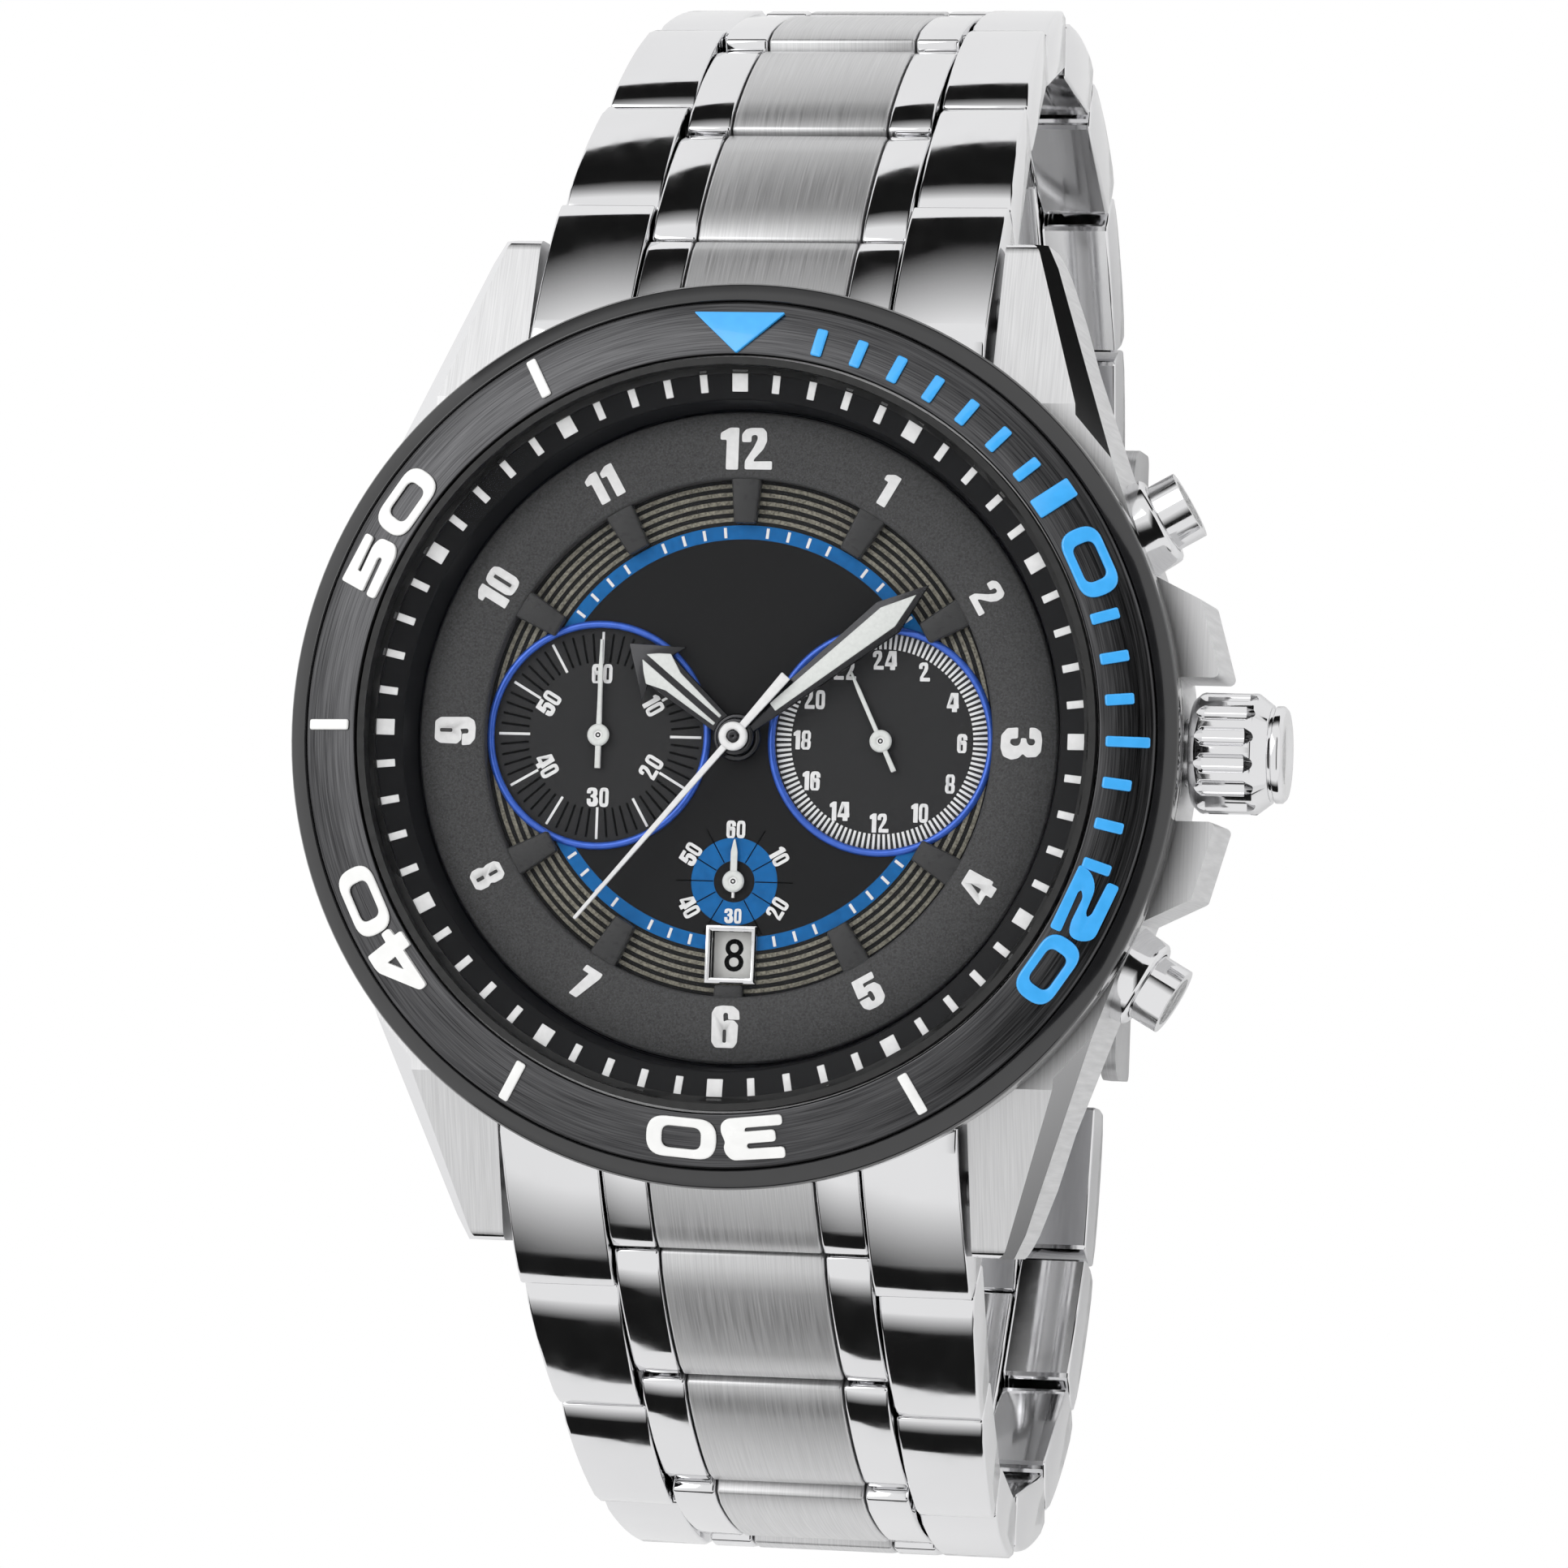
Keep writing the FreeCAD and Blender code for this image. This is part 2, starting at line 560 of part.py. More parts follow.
def clasp_cover():
    pin_y, inner_half, low_y, high_y, hinge, fold = clasp_levels()
    outer_half = inner_half + CLASP_WALL
    side = [(low_y, 0, 0.6), (high_y, 0, 0.6), (high_y, CLASP_WALL_HEIGHT, 1.8),
            (low_y, CLASP_WALL_HEIGHT, 1.8)]
    cover = prism_x(side, -outer_half, outer_half)
    cover = cover.cut(box(-inner_half, inner_half, low_y, high_y, CLASP_PLATE, RIM_Z))
    cover = cover.cut(box(-inner_half, inner_half, low_y, low_y + CLASP_PLATE_STEP, 0, RIM_Z))
    bar_half = outer_half - CLASP_WALL / 5
    cover = cover.cut(rod_x(CLASP_BAR_R + SEAT, -bar_half, bar_half, pin_y, CLASP_PIN_Z))
    bar = rod_x(CLASP_BAR_R, -bar_half, bar_half, pin_y, CLASP_PIN_Z)
    cover = cover.cut(rod_x(BLADE_PIN_R + SEAT, -bar_half, bar_half, *hinge))
    hinge_pin = rod_x(BLADE_PIN_R, -bar_half, bar_half, *hinge)
    cover = cover.cut(rod_x(BUTTON_R + RUN, -BEZEL_R, BEZEL_R, BUTTON_Y, CLASP_PIN_Z))
    write("clasp_cover", cover, bar, hinge_pin)


def clasp_buttons():
    inner_half = clasp_levels()[1]
    outer = inner_half + CLASP_WALL + BUTTON_PROUD
    flange_in = inner_half - RUN - BUTTON_FLANGE
    button = rod_x(BUTTON_R, flange_in, outer, BUTTON_Y, CLASP_PIN_Z)
    flange = rod_x(BUTTON_R + BUTTON_FLANGE, flange_in, inner_half - RUN, BUTTON_Y, CLASP_PIN_Z)
    button = button.fuse(flange)
    write("clasp_button_right", button)
    write("clasp_button_left", button.mirror(V(0, 0, 0), X_AXIS))


def inner_blade():
    hinge, fold = clasp_levels()[4:]
    half = INNER_BLADE_WIDTH / 2
    tongue_half = TONGUE_WIDTH / 2
    low = hinge[1] - BLADE_THICKNESS / 2
    strip = box(-half, half, hinge[0], fold[0], low, low + BLADE_THICKNESS)
    blade = strip.fuse(rod_x(KNUCKLE_R, -half, half, *hinge))
    blade = blade.fuse(rod_x(KNUCKLE_R, -half, half, *fold))
    gap_y = fold[0] - KNUCKLE_R - 2 * TONGUE_CLEARANCE
    blade = blade.cut(box(-tongue_half, tongue_half, gap_y, fold[0] + 2, 0, RIM_Z))
    blade = blade.cut(rod_x(BLADE_PIN_R + RUN, -half, half, *hinge))
    blade = blade.cut(rod_x(BLADE_PIN_R + SEAT, -half, half, *fold))
    pin = rod_x(BLADE_PIN_R, -half, half, *fold)
    write("clasp_inner_blade", blade, pin)


def outer_blade():
    pin_y, inner_half, low_y, high_y, hinge, fold = clasp_levels()
    half = OUTER_BLADE_WIDTH / 2
    tongue = TONGUE_WIDTH / 2 - SIDE
    low = hinge[1] + KNUCKLE_R + 0.15
    high = low + BLADE_THICKNESS
    wide_end = fold[0] - KNUCKLE_R - TONGUE_CLEARANCE
    blade = box(-half, half, hinge[0], wide_end, low, high)
    blade = blade.fuse(box(-tongue, tongue, wide_end, fold[0], low, high))
    blade = blade.fuse(rod_x(KNUCKLE_R, -tongue, tongue, *fold))
    blade = blade.fuse(box(-tongue, tongue, -pin_y, hinge[0], low, high))
    blade = blade.fuse(rod_x(TONGUE_EYE_R, -tongue, tongue, -pin_y, CLASP_PIN_Z))
    blade = blade.cut(rod_x(BLADE_PIN_R + RUN, -half, half, *fold))
    blade = blade.cut(rod_x(CLASP_BAR_R + SEAT, -half, half, -pin_y, CLASP_PIN_Z))
    bar = rod_x(CLASP_BAR_R, -tongue, tongue, -pin_y, CLASP_PIN_Z)
    write("clasp_outer_blade", blade, bar)


# --- case -----------------------------------------------------------------------
def case_plan():
    """Right half of the case seen from above, counter-clockwise."""
    side_x = math.sqrt(CASE_SIDE_R ** 2 - FLANK_Y ** 2)
    tip_x = LUG_WIDTH / 2 + LUG_TIP_WIDTH
    return side_x, tip_x


def case_blank():
    side_x, tip_x = case_plan()
    low = CASE_BOTTOM_Z - 2
    corner = LUG_TIP_CORNER
    edges = []
    quarter = [V(side_x, FLANK_Y, low), V(tip_x, LUG_TIP_Y - corner, low),
               V(tip_x - corner / 2, LUG_TIP_Y, low)]
    upper = quarter + [V(-p.x, p.y, low) for p in reversed(quarter)]
    lower = [V(-p.x, -p.y, low) for p in upper]
    for run in (upper, lower):
        for a, b in zip(run, run[1:]):
            edges.append(Part.LineSegment(a, b).toShape())
    edges.append(Part.Arc(upper[-1], V(-CASE_SIDE_R, 0, low), lower[0]).toShape())
    edges.append(Part.Arc(lower[-1], V(CASE_SIDE_R, 0, low), upper[0]).toShape())
    wire = Part.Wire(Part.__sortEdges__(edges))
    return Part.Face(wire).extrude(V(0, 0, CASE_TOP_Z - low))


def lug_envelope():
    """Side outline of case and lugs."""
    tip_top = RIM_Z - LUG_TIP_DROP
    foot = RIM_Z - LUG_FOOT_DROP
    half = [(LUG_SHOULDER_Y, CASE_TOP_Z), (LUG_TIP_Y, tip_top, LUG_EDGE), (LUG_TIP_Y, foot, LUG_EDGE),
            (LUG_TIP_Y - LUG_FOOT_LENGTH, foot), (BACK_R + AIR, CASE_BOTTOM_Z)]
    other = [(-p[0],) + p[1:] for p in reversed(half)]
    return prism_x(half + other, -2 * BEZEL_R, 2 * BEZEL_R)


def flank_bevel():
    """Wedge that takes the bevel off the top outer edge of one lug."""
    side_x, tip_x = case_plan()
    run = V(tip_x - side_x, LUG_TIP_Y - FLANK_Y, 0)
    heading = math.degrees(math.atan2(run.y, run.x)) - 90
    start = -BEVEL_START
    wedge = prism_z([(0, start), (BEVEL_SIZE, start), (BEVEL_SIZE, LUG_TIP_Y), (0, LUG_TIP_Y)],
                    0, 1.5 * BEVEL_SIZE)
    wedge.rotate(V(0, 0, 0), V(0, 1, 0), BEVEL_TILT)
    drop = LUG_TIP_DROP - (RIM_Z - CASE_TOP_Z)
    slope = math.degrees(math.atan2(drop, LUG_TIP_Y - LUG_SHOULDER_Y))
    wedge.rotate(V(0, 0, 0), X_AXIS, -slope)
    wedge.rotate(V(0, 0, 0), Z_AXIS, heading)
    wedge.translate(V(side_x - BEVEL_INSET, FLANK_Y, CASE_TOP_Z + BEVEL_RISE))
    return wedge


def crown_guards():
    side_x = case_plan()[0]
    root_x = side_x - GUARD_REACH
    half = [(root_x, FLANK_Y - GUARD_BACK), (side_x - SIDE, FLANK_Y + AIR),
            (CASE_SIDE_R + GUARD_BACK, GUARD_OUTER_Y, GUARD_EDGE),
            (CASE_SIDE_R + GUARD_REACH, GUARD_INNER_Y, GUARD_EDGE), (root_x, GUARD_INNER_Y)]
    low = CROWN_Z - CROWN_R + GUARD_EDGE
    high = CASE_TOP_Z - AIR
    upper = prism_z(half, low, high)
    lower = prism_z([(p[0], -p[1]) + p[2:] for p in reversed(half)], low, high)
    return upper, lower


def pusher_direction(side):
    angle = math.radians(PUSHER_ANGLE)
    return V(math.sin(angle), side * math.cos(angle), 0)


def radial(radius, start, end, side):
    """Round bar along a pusher's axis between two distances from the dial's axis."""
    way = pusher_direction(side)
    return Part.makeCylinder(radius, end - start, way * start + V(0, 0, CROWN_Z), way)


def case_body():
    body = case_blank().common(lug_envelope())
    for guard in crown_guards():
        body = body.fuse(guard)
    gap_half = LUG_WIDTH / 2
    gap = box(-gap_half, gap_half, -2 * BEZEL_R, 2 * BEZEL_R, 0, RIM_Z)
    gap = gap.cut(disc(LUG_GAP_R, 0, RIM_Z))
    body = body.cut(gap)
    wedge = flank_bevel()
    left = wedge.mirror(V(0, 0, 0), X_AXIS)
    for piece in (wedge, left, spun(wedge, 180), spun(left, 180)):
        body = body.cut(piece)
    body = body.fuse(disc(NECK_R, CASE_TOP_Z - 1, RIM_Z - NECK_TOP_DROP))
    ledge_z = DIAL_Z + HOUR_RING_HEIGHT + HAND_THICKNESS
    body = body.cut(disc(CAVITY_R, CASE_BOTTOM_Z - 2, ledge_z))
    body = body.cut(disc(NECK_BORE_R, ledge_z, RIM_Z + 3))
    wire_z = RIM_Z - WIRE_DROP
    body = body.cut(washer(NECK_R + 1, NECK_R - WIRE_R - RUN, wire_z - WIRE_R - RUN, wire_z + WIRE_R + RUN))
    body = body.cut(rod_x(TUBE_R + SEAT, 0, BEZEL_R + 1, 0, CROWN_Z))
    for side in (1, -1):
        body = body.cut(radial(COLLAR_R + SEAT, COLLAR_END - COLLAR_DEPTH, PUSHER_END, side))
        body = body.cut(radial(COLLAR_NECK_R + SEAT, 0, PUSHER_END, side))
    bar_y, bar_z = lug_bar_place()
    tip = LUG_WIDTH / 2 + LUG_BAR_TIP + RUN
    for y in (bar_y, -bar_y):
        body = body.cut(rod_x(LUG_BAR_TIP_R + SEAT, -tip, tip, y, bar_z))
    body = body.cut(click_recess(0))
    write("case_body", body)


def click_recess(clearance):
    """Curved pocket in the case top, under the bezel, at nine o'clock."""
    half = CLICK_POCKET_HALF - clearance
    pocket = washer(CLICK_R + half, CLICK_R - half, CASE_TOP_Z - CLICK_POCKET_DEPTH + clearance, RIM_Z)
    width = CLICK_SPRING_HALF_LENGTH - clearance
    return pocket.common(box(-BEZEL_R, -NECK_R / 2, -width, width, 0, RIM_Z))


def bezel_click_spring():
    """Flat spring in the pocket, with a raised nose under the bezel's teeth."""
    spring_top = CASE_TOP_Z - CLICK_SPRING_DROP
    spring = click_recess(RUN).common(box(-BEZEL_R, 0, -BEZEL_R, BEZEL_R, 0, spring_top))
    half = CLICK_TOOTH / 2
    nose = box(-CLICK_R - half, half - CLICK_R, -half, half, spring_top - RUN, BEZEL_BOTTOM_Z - RUN)
    write("bezel_click_spring", spring.fuse(nose))


def case_back():
    low = CASE_BOTTOM_Z - BACK_THICKNESS
    plug_r = CAVITY_R - SEAT
    back = turned([(0, low), (BACK_R - BACK_STEP, low, 0.5), (BACK_R, low + BACK_STEP_RISE, 0.3),
                   (BACK_R, CASE_BOTTOM_Z), (plug_r, CASE_BOTTOM_Z), (plug_r, CASE_BOTTOM_Z + BACK_PLUG),
                   (0, CASE_BOTTOM_Z + BACK_PLUG)])
    groove_low = CASE_BOTTOM_Z - BACK_GASKET_HEIGHT
    inner = CAVITY_R + AIR
    outer = inner + BACK_GASKET_WIDTH
    back = back.cut(washer(outer + SEAT, inner - SEAT, groove_low, CASE_BOTTOM_Z))
    half = BACK_NOTCH_WIDTH / 2
    notch = box(BACK_R - BACK_NOTCH_LENGTH, BEZEL_R, -half, half, low, low + BACK_NOTCH_DEPTH)
    for i in range(BACK_NOTCHES):
        back = back.cut(spun(notch, 360 / BACK_NOTCHES * i))
    write("case_back", back)
    write("case_back_gasket", washer(outer, inner, groove_low, CASE_BOTTOM_Z))


def chapter_ring():
    foot_r = DIAL_R
    ledge_z = DIAL_Z + HOUR_RING_HEIGHT + HAND_THICKNESS
    ring = turned([(CHAPTER_INNER_R, DIAL_Z), (foot_r, DIAL_Z), (foot_r, ledge_z),
                   (NECK_BORE_R - SEAT, ledge_z), (NECK_BORE_R - SEAT, CHAPTER_TOP_Z),
                   (CRYSTAL_R, CHAPTER_TOP_Z),
                   (CHAPTER_INNER_R + CHAPTER_WALL_LEAN, CHAPTER_TOP_Z - CHAPTER_BAND_FALL),
                   (CHAPTER_INNER_R, DIAL_Z + HAND_THICKNESS * 2)])
    write("chapter_ring", ring)


def crystal_and_gasket():
    high = CRYSTAL_Z + CRYSTAL_THICKNESS
    edge = CRYSTAL_EDGE
    glass = turned([(0, CRYSTAL_Z), (CRYSTAL_R, CRYSTAL_Z), (CRYSTAL_R, high - edge),
                    (CRYSTAL_R - edge, high), (0, high)])
    write("crystal", glass)
    outer = CRYSTAL_R + GASKET_WALL
    gasket = washer(outer, CRYSTAL_R, CHAPTER_TOP_Z, high - 2 * edge)
    foot = washer(outer, CRYSTAL_R - GASKET_WALL, CHAPTER_TOP_Z, CRYSTAL_Z)
    write("crystal_gasket", gasket.fuse(foot))


def bezel():
    seat_high = RIM_Z + INSERT_LIP - INSERT_THICKNESS
    bore = NECK_R + RUN
    seat_inner = seat_high + (INSERT_OUTER_R - bore) * INSERT_SLOPE
    ring = turned([(bore, BEZEL_BOTTOM_Z), (BEZEL_R, BEZEL_BOTTOM_Z, 0.4), (BEZEL_R, RIM_Z, 0.35),
                   (INSERT_OUTER_R, RIM_Z + INSERT_LIP * 0.8), (INSERT_OUTER_R, seat_high - SEAT),
                   (bore, seat_inner - 2 * SEAT)])
    wire_z = RIM_Z - WIRE_DROP
    room = WIRE_R + RUN
    ring = ring.cut(washer(NECK_R + room + RUN, NECK_R, wire_z - room, wire_z + room))
    half = CLICK_TOOTH / 2
    tooth = box(CLICK_R - half - RUN, CLICK_R + half + RUN, -half, half, 0, BEZEL_BOTTOM_Z + CLICK_DEPTH)
    teeth = [spun(tooth, 360 / CLICK_COUNT * i) for i in range(CLICK_COUNT)]
    ring = ring.cut(Part.makeCompound(teeth))
    write("bezel_ring", ring)
    top = RIM_Z + INSERT_LIP
    rise = (INSERT_OUTER_R - INSERT_INNER_R) * INSERT_SLOPE
    insert = turned([(INSERT_OUTER_R - SEAT, seat_high), (INSERT_OUTER_R - SEAT, top),
                     (INSERT_INNER_R, top + rise), (INSERT_INNER_R, seat_high + rise)])
    write("bezel_insert", insert)
    write("bezel_retaining_wire", Part.makeTorus(NECK_R, WIRE_R, V(0, 0, wire_z)))


# --- dial -----------------------------------------------------------------------
def dial_plate():
    dial = disc(DIAL_R, DIAL_BOTTOM_Z, DIAL_Z)
    for x in (-SUBDIAL_X, SUBDIAL_X):
        dial = dial.cut(disc(SUBDIAL_R - SUBDIAL_RIM, DIAL_Z - SUBDIAL_DEPTH, DIAL_Z, x, 0))
        dial = dial.cut(disc(SMALL_ARBOR_R + RUN, DIAL_BOTTOM_Z, DIAL_Z, x, 0))
    dial = dial.cut(disc(SMALL_ARBOR_R + RUN, DIAL_BOTTOM_Z, DIAL_Z, 0, SMALL_SECONDS_Y))
    dial = dial.cut(disc(HOUR_TUBE_R + RUN, DIAL_BOTTOM_Z, DIAL_Z))
    half_w = DATE_WIDTH / 2 - DATE_FRAME_WALL
    half_h = DATE_HEIGHT / 2 - DATE_FRAME_WALL
    dial = dial.cut(box(-half_w, half_w, DATE_Y - half_h, DATE_Y + half_h, DIAL_BOTTOM_Z, DIAL_Z))
    write("dial_plate", dial)
    rim_top = DIAL_Z + SUBDIAL_RIM / 2
    inner = SUBDIAL_R - SUBDIAL_RIM
    rims = [washer(SUBDIAL_R, inner, DIAL_Z, rim_top, x, 0) for x in (-SUBDIAL_X, SUBDIAL_X)]
    write("subdial_rims", *rims)


def date_frame():
    frame_top = DIAL_Z + DATE_FRAME_WALL
    half_w = DATE_WIDTH / 2
    half_h = DATE_HEIGHT / 2
    frame = box(-half_w, half_w, DATE_Y - half_h, DATE_Y + half_h, DIAL_Z, frame_top)
    half_w -= DATE_FRAME_WALL
    half_h -= DATE_FRAME_WALL
    frame = frame.cut(box(-half_w, half_w, DATE_Y - half_h, DATE_Y + half_h, DIAL_Z, frame_top))
    write("date_frame", frame)


def dial_hour_ring():
    """Raised numeral ring with hour blocks reaching inwards, none over the subdials."""
    ring = washer(HOUR_RING_OUTER_R, HOUR_RING_INNER_R, DIAL_Z, DIAL_Z + HOUR_RING_HEIGHT)
    half = HOUR_BLOCK_WIDTH / 2
    for hour in range(12):
        if hour in (3, 9):
            continue
        inner = HOUR_BLOCK_INNER_R
        if hour == 6:
            inner = -DATE_Y + DATE_HEIGHT / 2 + SEAT
        outer = HOUR_RING_INNER_R + HOUR_BLOCK_WIDTH / 3
        block = box(-half, half, inner, outer, DIAL_Z, DIAL_Z + HOUR_BLOCK_HEIGHT)
        ring = ring.fuse(spun(block, -30 * hour))
    for x in (-SUBDIAL_X, SUBDIAL_X):
        ring = ring.cut(disc(SUBDIAL_R, DIAL_Z, RIM_Z, x, 0))
    write("dial_hour_ring", ring)


def toothed_wheel(radius, teeth, z_low, z_high, x=0.0, y=0.0):
    """Thin wheel with pointed teeth."""
    points = []
    for i in range(2 * teeth):
        angle = math.pi * i / teeth
        r = radius if i % 2 == 0 else radius * 0.9
        points.append((x + r * math.cos(angle), y + r * math.sin(angle)))
    return prism_z(points, z_low, z_high)


def hand(shares, length, angle, z_low, hub_r, hub_top, bore_r, x=0.0, y=0.0):
    """Flat hand turned clockwise by angle. Shares of its length give its right half, tail first."""
    half = [(px * length, py * length) for px, py in shares]
    whole = half + [(-px, py) for px, py in reversed(half) if px > 0]
    blade = prism_z(whole, z_low, z_low + HAND_THICKNESS)
    blade = blade.fuse(disc(hub_r, z_low, hub_top))
    if bore_r:
        blade = blade.cut(disc(bore_r, 0, RIM_Z))
    blade = spun(blade, -angle)
    blade.translate(V(x, y, 0))
    return blade


def centre_hands():
    hour_z = DIAL_Z + HOUR_HAND_LIFT
    minute_z = DIAL_Z + MINUTE_HAND_LIFT
    chrono_z = DIAL_Z + CHRONO_HAND_LIFT
    write("hour_hand", hand(HOUR_HAND_SHAPE, HOUR_HAND_LENGTH, HOUR_ANGLE, hour_z,
                            HOUR_HUB_R, hour_z + HUB_HEIGHT, HOUR_TUBE_R + SEAT))
    write("minute_hand", hand(MINUTE_HAND_SHAPE, MINUTE_HAND_LENGTH, MINUTE_ANGLE, minute_z,
                              MINUTE_HUB_R, minute_z + HUB_HEIGHT, MINUTE_TUBE_R + SEAT))
    write("chrono_seconds_hand", hand(CHRONO_HAND_SHAPE, CHRONO_HAND_LENGTH, CHRONO_ANGLE, chrono_z,
                                      CHRONO_HUB_R, chrono_z + HUB_HEIGHT, CHRONO_ARBOR_R + SEAT))
    low = PLATE_Z + SEAT
    wheel = toothed_wheel(HOUR_WHEEL_R, 30, low, low + WHEEL_THICKNESS - 2 * RUN)
    wheel = wheel.fuse(disc(HOUR_TUBE_R, low, hour_z + HAND_THICKNESS))
    write("hour_wheel", wheel.cut(disc(MINUTE_TUBE_R + RUN, 0, RIM_Z)))
    low = PLATE_Z - PLATE_THICKNESS / 2
    wheel = toothed_wheel(MINUTE_WHEEL_R, 20, low, low + WHEEL_THICKNESS)
    wheel = wheel.fuse(disc(MINUTE_TUBE_R, low, minute_z + HAND_THICKNESS))
    write("minute_wheel", wheel.cut(disc(CHRONO_ARBOR_R + RUN, 0, RIM_Z)))
    low = PLATE_Z - PLATE_THICKNESS - 2 * WHEEL_THICKNESS
    wheel = toothed_wheel(CHRONO_WHEEL_R, 30, low, low + WHEEL_THICKNESS)
    arbor = disc(CHRONO_ARBOR_R, low - BRIDGE_THICKNESS, chrono_z + HAND_THICKNESS)
    write("chrono_wheel", wheel.fuse(arbor))


def small_hands():
    sunk = DIAL_Z - SUBDIAL_DEPTH + SMALL_HAND_LIFT * 2
    level = DIAL_Z + SMALL_HAND_LIFT
    tail = -SMALL_TAIL_SHARE * SUBDIAL_R
    layout = [("minute_counter_hand", COUNTER_HAND_SHARE, tail, 0, sunk, -SUBDIAL_X, 0),
              ("day_hour_hand", DAY_HOUR_HAND_SHARE, tail, DAY_HOUR_ANGLE, sunk, SUBDIAL_X, 0),
              ("small_seconds_hand", SECONDS_HAND_SHARE, tail / 2, 0, level, 0, SMALL_SECONDS_Y)]
    for node, share, tail_y, angle, z, x, y in layout:
        length = share * SUBDIAL_R
        slim = [(SMALL_HAND_HALF, tail_y / length), (SMALL_HAND_HALF, 0), (SMALL_HAND_TIP_HALF, 1)]
        piece = hand(slim, length, angle, z - HAND_THICKNESS / 2, SMALL_HUB_R, z + SMALL_HAND_LIFT, 0, x, y)
        low = PLATE_Z - PLATE_THICKNESS - 2 * WHEEL_THICKNESS
        piece = piece.fuse(disc(SMALL_ARBOR_R, low - HUB_HEIGHT, z, x, y))
        write(node, piece.fuse(toothed_wheel(SMALL_WHEEL_R, 16, low, low + WHEEL_THICKNESS, x, y)))


def date_disc():
    low = PLATE_Z + DIAL_CLEARANCE
    write("date_disc", washer(DATE_DISC_OUTER_R, DATE_DISC_INNER_R, low, low + DATE_DISC_THICKNESS))


# --- movement ---------------------------------------------------------------------
def movement():
    low = PLATE_Z - PLATE_THICKNESS
    plate = disc(PLATE_R, low, PLATE_Z)
    rim_high = DIAL_BOTTOM_Z
    plate = plate.fuse(washer(PLATE_R, PLATE_RIM_INNER_R, PLATE_Z, rim_high))
    plate = plate.cut(disc(MINUTE_TUBE_R + RUN, low, PLATE_Z))
    plate = plate.cut(disc(MINUTE_WHEEL_R + 2 * RUN, PLATE_Z - PLATE_THICKNESS / 2 - RUN, PLATE_Z))
    for x, y in ((-SUBDIAL_X, 0), (SUBDIAL_X, 0), (0, SMALL_SECONDS_Y)):
        plate = plate.cut(disc(SMALL_ARBOR_R + RUN, low, PLATE_Z, x, y))
    bridge_high = BRIDGE_Z + BRIDGE_THICKNESS
    screw_high = bridge_high + SCREW_REACH
    post_r = BRIDGE_R - POST_INSET
    posts = [(post_r * math.cos(math.radians(a)), post_r * math.sin(math.radians(a))) for a in POST_ANGLES]
    for x, y in posts:
        plate = plate.fuse(disc(POST_R, bridge_high, low, x, y))
        plate = plate.cut(disc(SCREW_R + SEAT, bridge_high, screw_high, x, y))
    write("movement_plate", plate)
    bridge = disc(BRIDGE_R, BRIDGE_Z, bridge_high)
    cell_x, cell_y = [share * BRIDGE_R for share in BATTERY_SHARE]
    bridge = bridge.cut(disc(BATTERY_R + SEAT, BRIDGE_Z, bridge_high, cell_x, cell_y))
    screws = []
    for x, y in posts:
        bridge = bridge.cut(disc(SCREW_R + SEAT, BRIDGE_Z, bridge_high, x, y))
        shank = disc(SCREW_R, BRIDGE_Z, screw_high, x, y)
        screws.append(shank.fuse(disc(2 * SCREW_R, BRIDGE_Z - SCREW_HEAD, BRIDGE_Z, x, y)))
    write("movement_bridge", bridge)
    write("bridge_screws", *screws)
    cell_low = BRIDGE_Z - BATTERY_DROP
    cell_high = cell_low + BATTERY_HEIGHT
    cell = turned([(0, cell_low), (BATTERY_R - SCREW_HEAD, cell_low), (BATTERY_R, cell_low + SCREW_HEAD),
                   (BATTERY_R, cell_high), (0, cell_high)], cell_x, cell_y)
    write("battery_cell", cell)
    board_low = bridge_high
    board = washer(BRIDGE_R, BOARD_SHARE * BRIDGE_R, board_low, board_low + BOARD_THICKNESS)
    board = board.common(box(-BRIDGE_R, BRIDGE_R, BOARD_EDGE_Y, BRIDGE_R, 0, RIM_Z))
    for x, y in posts:
        board = board.cut(disc(POST_R + RUN, board_low, RIM_Z, x, y))
    write("circuit_board", board)
    coil_z = bridge_high + COIL_R
    coils = []
    for share_x, share_y in COIL_SHARES:
        start = share_x * BRIDGE_R - COIL_LENGTH / 2
        end = start + COIL_LENGTH
        coil = rod_x(COIL_R, start, end, share_y * BRIDGE_R, coil_z)
        core = rod_x(COIL_R / 2, start - CORE_END, end + CORE_END, share_y * BRIDGE_R, coil_z)
        coils.append(coil.fuse(core))
    write("motor_coils", *coils)


